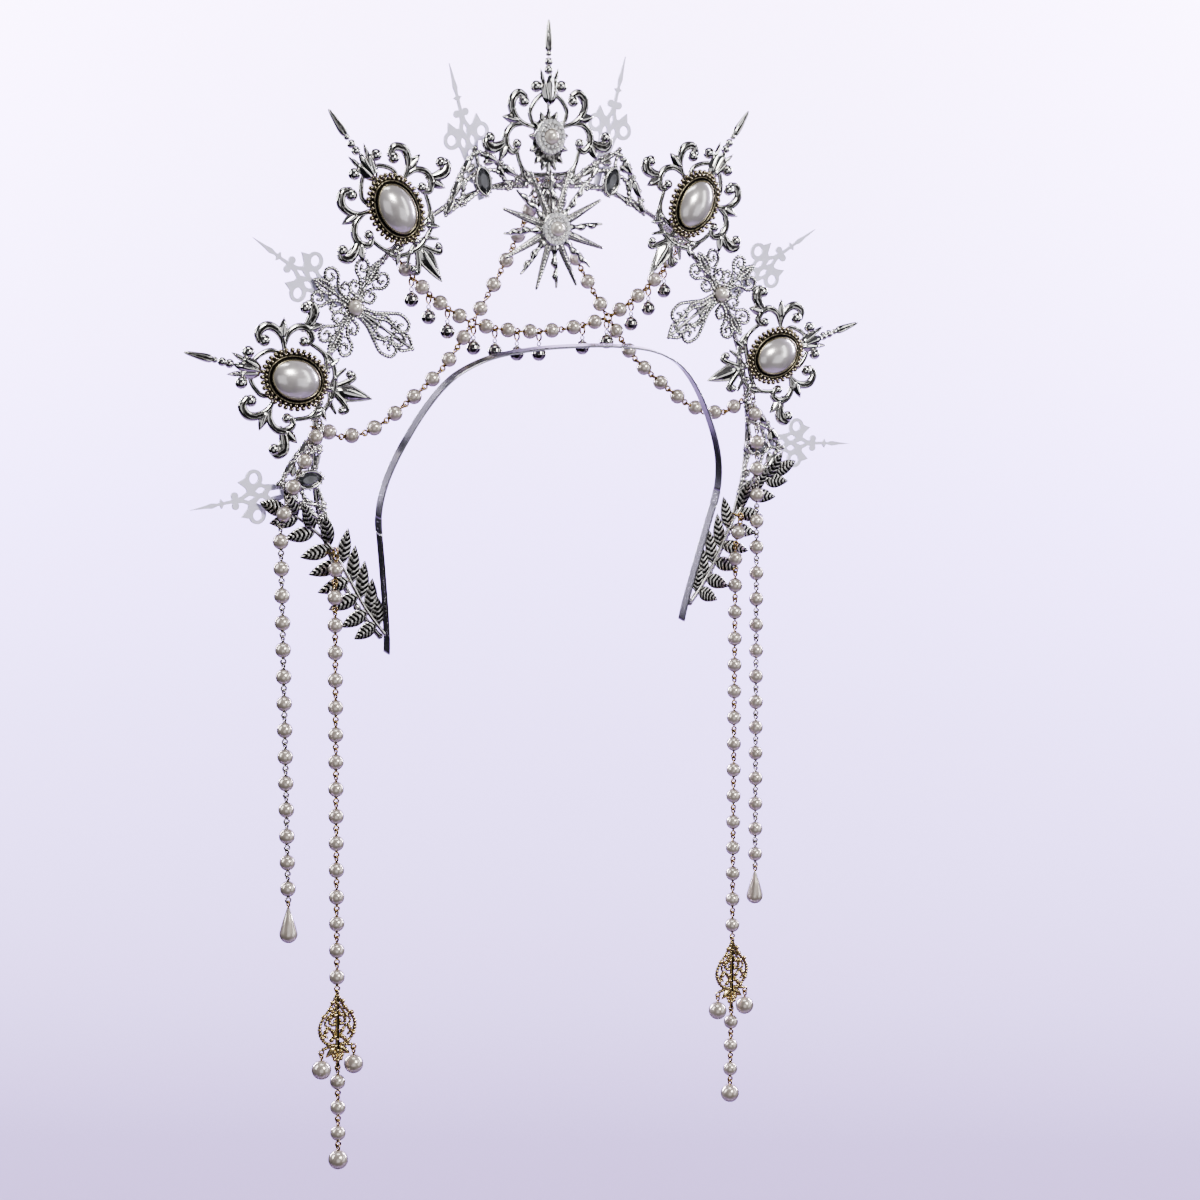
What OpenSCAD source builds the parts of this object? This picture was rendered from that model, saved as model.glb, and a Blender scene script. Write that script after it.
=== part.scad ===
// Halo crown worn on a hairband: a wire arch carrying five cast medallions, four small filigree
// links, two filigree crosses, six clock hands, a star brooch, leaf branches and pearl strings.
// Millimetres. +Z up, the wearer's front faces -Y, +X is to the viewer's right.
// The origin is the middle of the hairband's underside, where it rests on the head.
// Flat ornaments are drawn in a local frame: x sideways, y outward from the halo's centre,
// z towards the front.

/* [Halo] */
// Radius of the arch wire about the halo's centre
halo_r = 123.5; // [100:0.5:150]
// Thickness of the arch wire
wire_d = 2.2; // [1.5:0.1:4]
// Half of the angle the arch wire spans, measured from straight up
wire_half_angle = 134.5; // [110:0.5:150]
// Number of swellings on each half of the arch wire
wire_nodes = 13; // [0:1:20]
// How far the halo's centre lies below the hairband's underside
halo_drop = 46.7; // [30:0.1:60]
// How far the halo's plane lies behind the top of the hairband
halo_back = 26; // [10:0.5:40]

/* [Hairband] */
// Width of the band
band_w = 5; // [3:0.5:12]
// Thickness of the band
band_t = 1; // [0.6:0.1:2]
// Lean of the band towards the front, degrees
band_lean = 10.8; // [0:0.1:20]

/* [Medallions] */
// Angle of the upper side medallions from straight up
med_a1 = 37.0; // [30:0.1:45]
// Angle of the lower side medallions from straight up
med_a2 = 75.1; // [65:0.1:85]
// Distance of the middle of each medallion from the halo's centre, from left to right
med_r = [141.2, 139.2, 141.5, 139.4, 139.8]; // [120:0.1:160]
// Length of the pearl dome
dome_l = 25; // [18:0.5:30]
// Width of the pearl dome
dome_w = 18; // [12:0.5:22]
// Height of the pearl dome
dome_h = 5.8; // [3:0.1:8]
// Number of teeth on the bezel of a pearl dome
bezel_teeth = 30; // [16:1:40]

/* [Links and crosses] */
// Angles of the links from straight up, from left to right
link_a = [-94.3, -15.8, 17.0, 94.3]; // [-110:0.1:110]
// Distance of a link's stone from the halo's centre
link_r = 128; // [120:0.5:140]
// Angle of the crosses from straight up
cross_a = 57.0; // [50:0.1:64]
// Distance of a cross's pearl from the halo's centre
cross_r = 123.2; // [115:0.1:135]
// Thickness of the filigree wire of the crosses
filigree_d = 1.2; // [0.8:0.1:2]

/* [Clock hands] */
// Angles of the clock hands from straight up, from left to right
hand_a = [-96.0, -57.3, -15.8, 15.0, 58.7, 93.5]; // [-110:0.1:110]
// Radius reached by the tip of each clock hand
hand_tip_r = [188, 184.7, 183.5, 187.3, 188.5, 188.4]; // [160:0.1:210]
// Lean of each clock hand towards the front, degrees
hand_lean = [3.4, 5.5, 0, 0, 5.5, 3.4]; // [0:0.1:10]
// Thickness of the clock hands
hand_t = 1.0; // [0.6:0.1:2]

/* [Star brooch] */
// Distance of the star's middle from the halo's centre
star_r = 101; // [90:0.5:110]
// Length of a straight ray from the star's middle
ray_long = 30; // [20:0.5:36]
// Length of a wavy ray from the star's middle
ray_short = 28; // [18:0.5:34]
// How far the star's back lies in front of the arch wire's axis
star_front = 9.0; // [7:0.1:14]

/* [Pearl strings] */
// Diameter of the pearls
bead_d = 7; // [5:0.1:10]
// Thickness of the eye-pin wire
pin_d = 0.7; // [0.5:0.05:1]
// Radius of a wire loop, to the middle of its wire
loop_r = 1.25; // [1:0.05:2]
// Distance from one joint of a tail below a pendant to the next
pitch = 12.5; // [11:0.1:16]
// Distance between the joints of the outer strings, left and right
outer_pitch = [12.35, 13.16]; // [11:0.01:16]
// Distance between the joints of the inner strings, left and right
inner_pitch = [12.76, 13.46]; // [11:0.01:16]
// Number of pearls in an outer hanging string
outer_beads = 18; // [4:1:24]
// Number of pearls in an inner hanging string
inner_beads = 16; // [4:1:24]
// Length of the drop-shaped pearl
drop_l = 16.5; // [10:0.5:24]
// Widest part of the drop-shaped pearl
drop_d = 8.4; // [5:0.1:12]

/* [Leaf branches] */
// Width of a leaf
leaf_w = 5.4; // [3:0.1:8]

/* [Hidden] */
$fn = 96;
wire_r = wire_d / 2;
wr = pin_d / 2;
bead_r = bead_d / 2;
node_bump = wire_r + 0.25;
layer = node_bump + 0.15;            // front of the wire's swellings plus a small gap
med_back = layer + 1.95;             // back face of the medallion castings
med_front = med_back + 3.05;
eye = loop_r - pin_d / 2 - 0.075;     // from a joint to the middle of a loop
grip = loop_r - pin_d - 0.1;         // from a joint to the wire of the ring the loop hangs on
silver = [0.62, 0.62, 0.65];
pale_silver = [0.8, 0.8, 0.82];
antique = [0.36, 0.33, 0.31];
bezel_metal = [0.45, 0.4, 0.28];
gold = [0.8, 0.65, 0.35];
pearl = [0.93, 0.9, 0.86];
crystal = [0.35, 0.36, 0.4];
hand_paint = [0.78, 0.77, 0.83];

// halo frame [across, up, forward] to the row's frame
function W(p) = [p[0], halo_back - p[2], p[1] - halo_drop];
function polar(a, r) = [r * sin(a), r * cos(a)];

module at(a, r) {
    translate([0, halo_back, -halo_drop]) rotate([90, 0, 0]) rotate(-a) translate([0, r, 0])
        children();
}
module both() {
    children();
    mirror([1, 0, 0]) children();
}

// smooth curve through a short list of control points
function cr(p, i, t) = let (n = len(p), a = p[max(i - 1, 0)], b = p[i], c = p[min(i + 1, n - 1)],
    d = p[min(i + 2, n - 1)]) 0.5 * (2 * b + (c - a) * t + (2 * a - 5 * b + 4 * c - d) * t * t
    + (3 * b - 3 * c + d - a) * t * t * t);
function curve(p, k) = concat([for (i = [0 : len(p) - 2], j = [0 : k - 1]) cr(p, i, j / k)],
    [p[len(p) - 1]]);

// tapered bar along [x, y, radius] points, s-sided with a ridge to the front, its height h times
// its width
module scroll(p, k = 1, s = 3, h = 0.9, z = 0) {
    c = curve(p, k);
    n = len(c);
    t = [for (i = [0 : n - 1]) let (d = c[min(i + 1, n - 1)] - c[max(i - 1, 0)])
        [d[0], d[1]] / norm([d[0], d[1]])];
    v = [for (i = [0 : n - 1], j = [0 : s - 1]) let (a = 90 + 360 * j / s, r = c[i][2])
        [c[i][0] - t[i][1] * r * cos(a), c[i][1] + t[i][0] * r * cos(a), z + r * h * sin(a)]];
    side = [for (i = [0 : n - 2], j = [0 : s - 1]) let (a = i * s + j, b = i * s + (j + 1) % s)
        [a, a + s, b + s]];
    side2 = [for (i = [0 : n - 2], j = [0 : s - 1]) let (a = i * s + j, b = i * s + (j + 1) % s)
        [a, b + s, b]];
    polyhedron(v, concat(side, side2, [[for (j = [0 : s - 1]) j]],
        [[for (j = [s - 1 : -1 : 0]) (n - 1) * s + j]]));
}
module knob(p, r, z = 0, s = 6) {
    translate([p[0], p[1], z]) sphere(r, $fn = s);
}
// eight-sided faceted bead, its height h times its width
module gem(p, r, z = 0, h = 1) {
    translate([p[0], p[1], z]) polyhedron([[r, 0, 0], [0, r, 0], [-r, 0, 0], [0, -r, 0],
        [0, 0, r * h], [0, 0, -r * h]], [[1, 0, 4], [2, 1, 4], [3, 2, 4], [0, 3, 4], [0, 1, 5],
        [1, 2, 5], [2, 3, 5], [3, 0, 5]]);
}
// pointed leaf from a to b, w wide, with a raised middle rib; its tip stands rise higher
module leaf(a, b, w, z = 0, t = 1.2, rise = 0) {
    d = b - a;
    n = [-d[1], d[0]] / norm(d);
    m = a + d * 0.42;
    y = z + rise * 0.42;
    hull() polyhedron([[a[0], a[1], z - t / 2], [m[0] + n[0] * w / 2, m[1] + n[1] * w / 2, y - t / 4],
        [b[0], b[1], z + rise], [m[0] - n[0] * w / 2, m[1] - n[1] * w / 2, y - t / 4],
        [a[0], a[1], z + t / 4], [m[0], m[1], y + t / 2], [m[0], m[1], y - t / 2]],
        [[0, 1, 4], [1, 2, 5], [1, 5, 4], [2, 3, 5], [3, 4, 5], [3, 0, 4], [0, 6, 1], [1, 6, 2],
        [2, 6, 3], [3, 6, 0]]);
}

module hairband() {
    k = 1 / cos(band_lean);
    half = [[0, 47.7], [22, 47.1], [44, 44.3], [60, 38.4], [70, 30.8], [79, 19.8], [86.4, 7.6],
        [91.3, -2], [95, -12], [96.8, -22], [96.6, -31], [94.8, -40], [91.8, -55], [88.6, -72],
        [86.1, -87], [85.4, -94]];
    c = curve([for (p = half) [p[0], (p[1] + 89) * k]], 2);
    n = len(c);
    inner = [for (i = [0 : n - 1]) let (d = c[min(i + 1, n - 1)] - c[max(i - 1, 0)],
        q = [d[1], -d[0]] / norm(d)) i == 0 ? [0, c[0][1] - band_t] : c[i] + q * band_t];
    color(pale_silver) translate([0, halo_back, -halo_drop - 89]) rotate([90 + band_lean, 0, 0])
        difference() {
            translate([0, 0, -band_w / 2]) linear_extrude(band_w) polygon(concat(c,
                [for (i = [n - 1 : -1 : 1]) inner[i]], [for (i = [0 : n - 1]) [-inner[i][0],
                inner[i][1]]], [for (i = [n - 1 : -1 : 1]) [-c[i][0], c[i][1]]]));
            for (s = [-1, 1], y = [60, 56.5]) translate([s * 96, y, 0]) rotate([0, 90, 0])
                cylinder(d = 1.3, h = 8, center = true);
        }
}

module arch_wire() {
    color(silver) at(0, 0) {
        rotate(90 - wire_half_angle) rotate_extrude(angle = 2 * wire_half_angle)
            translate([halo_r, 0]) circle(wire_r);
        for (i = [0 : wire_nodes - 1], s = [-1, 1]) rotate(90 + s * (5 + 10 * i) - 0.55)
            rotate_extrude(angle = 1.1) translate([halo_r, 0]) circle(node_bump);
        for (s = [-1, 1]) rotate(s * wire_half_angle) translate([0, halo_r, 0]) sphere(1.5);
    }
}

// openwork casting; the middle is hidden by a bezel or a rosette
module medallion(a, r, prongs = false) {
    z = med_back + 1.5;
    color(silver) at(a, r) union() {
        both() {
            scroll([[6.5, 5.8, 0.6], [15, 8.6, 0.8], [19.4, 13, 1.4], [20.3, 18.4, 1.6],
                [16.8, 22, 1.4], [12.6, 19.4, 1.2]], z = z);
            leaf([16.2, 10.2], [25.6, 10.6], 4, z);
            scroll([[14.2, 7.8, 0.8], [19.5, 7.2, 1.0], [23.2, 3.4, 1.2], [23.4, -1.6, 1.3],
                [20, -5, 1.3], [16.8, -1.6, 1.2]], z = z);
            scroll([[22.6, 0.5, 1.0], [27, -2.2, 1.8], [31.6, -3, 2.3], [34, -0.6, 2.2],
                [33.2, 2.4, 1.3]], h = 0.6, z = z);
            leaf([23, -1.4], [27, -9], 4, z);
            scroll([[1.6, 23, 0.9], [7.4, 18.4, 0.9], [10.3, 12.6, 0.8], [7, 4.5, 0.6]], z = z);
            gem([6.6, 25.2], 3.2, z, 0.7);
            leaf([1, 20.6], [5.2, 33.4], 4.6, z);
            scroll([[1.4, -22.5, 1.1], [4.4, -27.6, 1.4], [7.6, -30.4, 1.3], [8.8, -27.6, 0.6]],
                z = z);
            hull() {
                translate([7.5, -17.5, layer]) cylinder(r = 1.6, h = 0.5, $fn = 4);
                translate([7, -17.2, z]) cylinder(r = 1.8, h = 0.5, $fn = 4);
            }
            if (prongs) for (b = [30, 75, 120, 156]) leaf([7.2 * sin(b), 10 * cos(b)],
                [10.8 * sin(b), 14 * cos(b)], 3, z);
        }
        if (prongs) leaf([0, 10], [0, 14.8], 2.8, z);
        scroll([[-17.6, -4.2, 0.9], [-14.8, -12, 0.9], [-10, -15.2, 0.9], [0, -15.7, 1.0],
            [10, -15.2, 0.9], [14.8, -12, 0.9], [17.6, -4.2, 0.9]], z = z);
        scroll([[-15.1, -11.4, 0.9], [-12, -18, 0.9], [0, -22, 1.1], [12, -18, 0.9],
            [15.1, -11.4, 0.9]], z = z);
        // strips that hold the plate behind the dome
        for (q = [-1, 1]) scroll([[0, q * 10, 1.2], [0, q * 19, 1.2]], h = 0.45, z = z);
        hull() for (q = [-1, 1]) translate([0, q * 3.5, z - 0.6]) cylinder(r = 8.6, h = 1.2, $fn = 8);
        // collar and spear
        hull() {
            translate([0, 17.6, z]) sphere(0.6, $fn = 4);
            translate([0, 24, z]) sphere(2.6, $fn = 5);
            translate([0, 33, z]) sphere(1.5, $fn = 5);
        }
        scroll([[0, 31, 1.4], [0, 34.6, 0.9], [0, 37, 2.3], [0, 40, 0.8],
            [0, 44.5, 2.2], [0, 50, 1.1], [0, 55.4, 0.25]], s = 4, z = z);
        // spade at the inner end
        scroll([[0, -15.2, 1.4], [0, -18.4, 1.7], [0, -21, 1.3], [0, -26, 2.2], [0, -32, 3.6],
            [0, -36, 2.2], [0, -42, 0.3]], s = 4, h = 0.38, z = z);
    }
}

function oval(l, w, n, t = 0, m = 0) = [for (i = [0 : n - 1]) let (a = 360 * i / n,
    g = 1 + t * cos(a * m)) [w / 2 * g * sin(a), l / 2 * g * cos(a)]];
module bezel(a, r) {
    color(bezel_metal) at(a, r) translate([0, 0, med_front - 0.6]) {
        difference() {
            linear_extrude(2.2) polygon(oval(dome_l + 3.4, dome_w + 3.4, 60));
            translate([0, 0, 0.7]) linear_extrude(3) polygon(oval(dome_l + 0.3, dome_w + 0.3, 60));
        }
        for (i = [0 : bezel_teeth - 1]) let (b = 360 * i / bezel_teeth)
            translate([(dome_w / 2 + 2.3) * sin(b), (dome_l / 2 + 2.3) * cos(b), 0.2])
                rotate(-b) translate([-0.6, -1.4, 0]) cube([1.2, 3, 1.3]);
    }
}
module dome(a, r) {
    n = 24;
    m = 4;
    function ring(i) = let (q = 90 * i / m) [for (j = [0 : n - 1]) let (b = 360 * j / n)
        [dome_w / 2 * cos(q) * sin(b), dome_l / 2 * cos(q) * cos(b), dome_h * sin(q)]];
    color(pearl) at(a, r) translate([0, 0, med_front + 0.25]) polyhedron(
        concat([for (i = [0 : m - 1], v = ring(i)) v], [[0, 0, dome_h]]),
        concat([[for (j = [0 : n - 1]) n - 1 - j]], [for (j = [0 : n - 1]) [(m - 1) * n + j,
        (m - 1) * n + (j + 1) % n, m * n]], [for (i = [0 : m - 2], j = [0 : n - 1])
        [i * n + j, i * n + (j + 1) % n, (i + 1) * n + (j + 1) % n, (i + 1) * n + j]]));
}

// round ring set with small cut stones, with a pearl in the middle
module stone(r) {
    cylinder(r1 = r, r2 = r * 0.55, h = r * 0.6, $fn = 6);
    mirror([0, 0, 1]) cylinder(r1 = r, r2 = 0.2, h = r * 0.6, $fn = 6);
}
module ring_setting(r, n) {
    difference() {
        cylinder(r = r, h = 1.8);
        translate([0, 0, 1.0]) cylinder(r = r - 3.5, h = 2);
        translate([0, 0, 1.3]) difference() {
            cylinder(r = r - 0.5, h = 2);
            translate([0, 0, -1]) cylinder(r = r - 3.0, h = 4);
        }
    }
    for (i = [0 : n - 1]) rotate(360 * i / n) translate([r - 1.75, 0, 1.75]) stone(1.1);
}
module rosette() {
    color(pale_silver) at(0, med_r[2] + 2) translate([0, 0, med_front - 0.8]) ring_setting(8.4, 14);
}
module rosette_pearl() {
    color(pearl) at(0, med_r[2] + 2) translate([0, 0, med_front + 3.3]) sphere(r = 3.0);
}

module link(a) {
    z = layer + 1.0;
    color(silver) at(a, link_r) union() {
        both() {
            scroll([[-0.5, 14.6, 1.0], [6.5, 9.4, 1.2], [14, 2.2, 1.2], [23.4, -8.2, 0.9]], z = z);
            scroll([[3.2, 4.4, 0.9], [9.2, 1.8, 1.0], [14.4, -6, 1.0], [23.4, -9.6, 0.8]], z = z);
            scroll([[2.8, -4, 0.9], [13, -7.2, 1.0]], z = z);
            leaf([2.2, 8.4], [8.4, 7.2], 3, z);
            gem([13.2, -6], 2.7, z, 0.42);
        }
        scroll([[0, 6.2, 1.1], [0, 14.4, 1.1]], z = z);
        difference() {
            translate([0, 0, layer]) linear_extrude(2.2) marquise(8.4, 14);
            translate([0, 0, layer + 0.9]) linear_extrude(3) marquise(6.5, 11.7);
        }
    }
}
module marquise(w, l) {
    polygon([[0, l / 2], [w * 0.36, l * 0.26], [w / 2, 0], [w * 0.36, -l * 0.26], [0, -l / 2],
        [-w * 0.36, -l * 0.26], [-w / 2, 0], [-w * 0.36, l * 0.26]]);
}
module link_stone(a) {
    color(crystal) at(a, link_r) translate([0, 0, layer + 1.05]) hull() {
        linear_extrude(0.2) marquise(5.4, 10.2);
        translate([0, 0, 0.7]) linear_extrude(0.3) marquise(6.2, 11.4);
        translate([0, 0, 1.7]) linear_extrude(0.1) marquise(3.6, 7.4);
    }
}

module cross_arm() {
    w = filigree_d / 2;
    z = layer + 0.85;
    both() {
        scroll([[0.9, 3.6, w], [2.2, 10.5, w], [5.6, 12, w], [8.6, 15.8, w], [6.2, 19, w],
            [3.4, 16.6, w]], h = 1.2, z = z);
    }
    leaf([0, 3.2], [0, 24.4], 4.8, z);
}
module cross_piece(a) {
    w = filigree_d / 2;
    z = layer + 0.85;
    color(pale_silver) at(a, cross_r) union() {
        for (b = [0, 90, -90]) rotate(b) cross_arm();
        both() {
            scroll([[2.2, -3, w], [4.2, -10, w], [8.8, -20.5, w * 1.2], [8.8, -27.6, w * 1.2],
                [5, -29.6, w], [3.4, -26.6, w]], h = 1.2, z = z);
            scroll([[0.9, -4.5, w], [3.2, -18.6, w], [2.6, -29, w], [-0.25, -36, w * 0.8]],
                h = 1.2, z = z);
        }
        scroll([[-4.6, -15.2, w], [4.6, -15.2, w]], h = 1.2, z = z);
        // petals round the pearl
        for (i = [0 : 7]) rotate(22.5 + 45 * i) leaf([0, 3.4], [0, 5.7], 1.9, z, rise = 0.7);
        translate([0, 0, z - 0.85]) cylinder(r = 4.4, h = 1.05, $fn = 8);
    }
}
module cross_pearl(a) {
    color(pearl) at(a, cross_r) translate([0, 0, layer + 0.85 + 0.35 + 3.3]) sphere(r = 3.3);
}

module sheet() { linear_extrude(hand_t) children(); }
module hole() { translate([0, 0, -1]) linear_extrude(hand_t + 2) children(); }
module hand(i) {
    r = hand_tip_r[i];
    color(hand_paint) at(hand_a[i], halo_r) translate([0, 0, -layer]) rotate([hand_lean[i], 0, 0])
        translate([0, r - 58 - halo_r, -hand_t]) difference() {
        union() {
            sheet() polygon([[0, 58], [0.7, 50], [1.2, 46.8], [0.6, 44], [0.8, 35], [-0.8, 35],
                [-0.6, 44], [-1.2, 46.8], [-0.7, 50]]);
            sheet() polygon([[-2.2, 42], [0, 40.2], [2.2, 42], [0, 43]]);
            sheet() translate([-2.4, 33.3]) square([4.8, 2.9]);
            sheet() polygon([[-1.2, 34], [-1.5, 31], [-3.6, 27], [-7, 25], [-7, 22.5],
                [-4.9, 19], [-4.2, 14.4], [-3, 7], [3, 7], [4.2, 14.4], [4.9, 19], [7, 22.5],
                [7, 25], [3.6, 27], [1.5, 31], [1.2, 34]]);
            for (s = [-1, 1]) {
                sheet() translate([s * 2.3, 34.75]) circle(1.75);
                sheet() translate([s * 8.1, 24]) circle(4.4);
                sheet() polygon([[s * 2.6, 28], [s * 4.6, 28.6], [s * 8, 32.4], [s * 9.6, 27.4],
                    [s * 5, 24]]);
            }
            sheet() translate([0, 6]) circle(4.8);
            // tail behind the arch wire
            sheet() translate([-1.6, -6.4]) square([3.2, 9]);
        }
        for (s = [-1, 1]) {
            hole() translate([s * 8.4, 24]) circle(2.4);
            hole() polygon([[s * 2.6, 24], [s * 1.2, 22.2], [s * 1.2, 20.4], [s * 2.6, 18.6],
                [s * 3.8, 20.4], [s * 3.8, 22.2]]);
        }
        hole() polygon([[0, 30.2], [1.1, 27.4], [0, 24.4], [-1.1, 27.4]]);
        hole() polygon([[-1.2, 11], [-1.5, 16.4], [0, 17.6], [1.5, 16.4], [1.2, 11]]);
        hole() translate([0, 6]) circle(1.6);
    }
}

module star() {
    color(pale_silver) at(0, star_r) translate([0, 0, star_front]) union() {
        for (i = [0 : 7]) rotate(26 + 45 * i) hull() {
            translate([0, 6, 0.9]) cube([3.0, 1, 1.8], center = true);
            translate([0, ray_long - 0.5, 0.9]) cube([1.2, 1, 1.0], center = true);
        }
        for (i = [0 : 7]) rotate(3.5 + 45 * i) scroll([[0, 5, 1.0], [0, 9, 1.7], [0, 12.5, 0.9],
            [0, 15.8, 1.6], [0, 18.8, 0.8], [0, 21.6, 1.3], [0, ray_short, 0.4]], h = 0.6,
            z = 0.8);
        cylinder(r = 7, h = 1.6, $fn = 12);
        translate([0, 5, med_front - 0.15 - star_front]) cylinder(r = 2.4,
            h = star_front + 0.5 - med_front, $fn = 8);
    }
}
module star_ring() {
    color(pale_silver) at(0, star_r) translate([0, 0, star_front + 1.95]) ring_setting(7.8, 14);
}
module star_pearl() {
    color(pearl) at(0, star_r) translate([0, 0, star_front + 1.95 + 4.1]) sphere(r = 3.0);
}

// leafy branch lying along the wire's lower end; local frame is the halo's own, right-hand side
module branch() {
    z = layer + 1.0;
    stem = [[88, -84.2, 0.9], [92, -79.4, 0.9], [98, -71.6, 0.9], [103.4, -62.6, 0.9],
        [108.6, -53.6, 0.9], [116.4, -41.4, 0.9], [124.6, -33.2, 0.85], [134.4, -25.8, 0.7],
        [141.4, -22.4, 0.5]];
    low = [[133, -27, 146.6, -28], [124.4, -33.6, 138.8, -35.4], [116.2, -42, 131, -44.6],
        [111, -49.8, 107.4, -34.6], [111.6, -49.4, 126.6, -52.8], [105.6, -59, 103.6, -42.8],
        [106.6, -57.4, 122, -61.4], [101, -66.6, 98.6, -50.4], [102, -65.2, 116.4, -69.8],
        [96, -74.4, 94.6, -58.8], [97, -73, 110.2, -78.4], [91.4, -80.2, 92.6, -66.4],
        [92.4, -79, 103.4, -84.6]];
    // leaves whose tips stand forward over the link
    high = [[133.5, -26.4, 141, -13.6], [125, -33, 131.6, -20.6], [116.8, -41, 120.8, -26.6]];
    color(antique) at(0, 0) union() {
        scroll(stem, s = 4, h = 1, z = z);
        leaf([139, -23.6], [151.5, -18.6], leaf_w, z);
        for (q = low) leaf([q[0], q[1]], [q[2], q[3]], leaf_w, z + 0.1);
        for (q = high) leaf([q[0], q[1]], [q[2], q[3]], leaf_w, z + 0.1, rise = 3.2);
    }
}

// string parts: t runs from joint a to joint b, both in the halo frame
module along(a, b) {
    t = (W(b) - W(a)) / norm(W(b) - W(a));
    y = [0, 1, 0];
    n = (y - (y * t) * t) / norm(y - (y * t) * t);
    s = cross(n, t);
    o = W(a);
    multmatrix([[s[0], n[0], t[0], o[0]], [s[1], n[1], t[1], o[1]], [s[2], n[2], t[2], o[2]],
        [0, 0, 0, 1]]) children();
}
module hoop(r = loop_r, w = wr) {
    rotate([90, 0, 0]) rotate_extrude() translate([r, 0]) circle(w);
}
// pearl on an eye pin; ka and kb turn its loops, 0 face-on, 1 edge-on
module bead(a, b, ka = 1, kb = 0, r = bead_r) {
    l = norm(b - a);
    along(a, b) {
        translate([0, 0, l / 2]) sphere(r);
        for (q = [[0, ka], [1, kb]]) translate([0, 0, q[0] * l]) mirror([0, 0, q[0]]) {
            translate([0, 0, eye]) rotate(90 * q[1]) hoop();
            translate([0, 0, eye + loop_r]) cylinder(r = wr * 0.9, h = l / 2 - eye - loop_r - 1);
        }
    }
}
module beads(j, ka = 1, kb = 0, r = bead_r) {
    n = len(j) - 1;
    for (i = [0 : n - 1]) bead(j[i], j[i + 1], i == 0 ? ka : 1, i == n - 1 ? kb : 0, r);
}
// jump ring: middle c in the halo frame, its axis along the halo-frame direction d
module jump(c, d, r = 2.2, w = wr) {
    q = [d[0], -d[2], d[1]] / norm(d);
    translate(W(c)) rotate([0, acos(q[2]), atan2(q[1], q[0])])
        rotate_extrude() translate([r, 0]) circle(w);
}
// points evenly spaced along a curve of control points
function plen(p) = [for (i = 0, s = 0; i < len(p); s = s + (i < len(p) - 1 ? norm(p[i + 1] - p[i])
    : 0), i = i + 1) s];
function pick(p, l, s) = let (k = max([for (i = [0 : len(p) - 2]) l[i] <= s ? i : 0]))
    p[k] + (p[k + 1] - p[k]) * (s - l[k]) / (l[k + 1] - l[k]);
function joints(p, n) = let (c = curve(p, 8), l = plen(c), m = l[len(l) - 1])
    [for (i = [0 : n]) pick(c, l, min(m * i / n, m - 0.0001))];
// n joints below p, each l lower and moved by s sideways
function rowdown(p, n, l, s = 0) = [for (i = [1 : n]) p + [s * i, -l * i, 0]];

// point of a ring at middle radius r and depth d, round the arch wire at angle a
function ring_point(a, r, d, size, q) = concat(polar(a, r + size * cos(q)), [d + size * sin(q)]);
// middle of a ring of radius r hung on wire point q along the direction u
function ring_mid(q, u, r = 1.9) = q + (r - pin_d - 0.1) * u / norm(u);
// its point that lies along the direction t, where the next loop hangs
function ring_end(q, u, t, r = 1.9) = ring_mid(q, u, r) + r * t / norm(t);
function unit(v) = v / norm(v);

// hanging strings, their joints listed from the top
out_d = 8.9;
in_d = 8.2;
out_a = 82.3;
out_q = ring_point(out_a, halo_r, 1.0, 2.6, 85);
out_u = [0.1, -0.3, 0.95];
out_t = [0.02, -0.93, 0.37];
out_j = ring_end(out_q, out_u, out_t) - grip * out_t;
function flip(j) = [for (p = j) [-p[0], p[1], p[2]]];
outer_l = flip(concat(joints([out_j, [129.5, 6, 9.0], [136.6, -6.5, 9.3], [142.6, -19, 9.1],
    [145.6, -29.6, out_d]], 4), rowdown([145.5, -29.6, out_d], outer_beads - 4, outer_pitch[0],
    -0.15)));
outer_r = concat([out_j], rowdown([122.5, 0.1 + outer_pitch[1], out_d], outer_beads,
    outer_pitch[1], 0.2));
in_size = 3.3;
in_q = ring_point(110.5, halo_r - 0.1, 1.5, in_size, 90);
in_u = [0, -0.3, 0.95];
in_t = [-0.04, -0.985, 0.16];
in_j = ring_end(in_q, in_u, in_t) - grip * in_t;
inner_r = concat([in_j], rowdown([110.8, -57.3 + inner_pitch[1], in_d], inner_beads,
    inner_pitch[1], 0.12));
inner_l = flip(concat([in_j], rowdown([117.4, -57.4 + inner_pitch[0], in_d], inner_beads,
    inner_pitch[0], 0.02)));
module tangent_ring(a, r, d, size) {
    jump(concat(polar(a, r), [d]), [cos(a), -sin(a), 0], size);
}
module drop_shape() {
    m = drop_d / 2;
    rotate_extrude() polygon(concat([for (i = [0 : 12]) let (a = -90 + i * 110 / 12)
        [m * cos(a), m + m * sin(a)]], [[m * 0.62, drop_l * 0.62], [m * 0.3, drop_l * 0.86],
        [0.7, drop_l], [0, drop_l]]));
}
module drop(j) {
    p = j[len(j) - 1];
    along(p, p + [0, -1, 0]) {
        color(gold) {
            translate([0, 0, eye]) rotate(90) hoop();
            translate([0, 0, eye + loop_r]) cylinder(r = wr * 0.9, h = 2);
        }
        color(pearl) translate([0, 0, eye + loop_r + 0.8 + drop_l]) mirror([0, 0, 1]) drop_shape();
    }
}
module outer(j) {
    color(pearl) {
        beads(j, ka = 0);
        tangent_ring(sign(j[0][0]) * out_a, halo_r, 1.0, 2.6);
        m = ring_mid(out_q, out_u);
        jump([sign(j[0][0]) * m[0], m[1], m[2]], [1, 0, 0], 1.9);
    }
}
module outer_left() { outer(outer_l); }
module outer_right() { outer(outer_r); }
module drop_left() { drop(outer_l); }
module drop_right() { drop(outer_r); }
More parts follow.
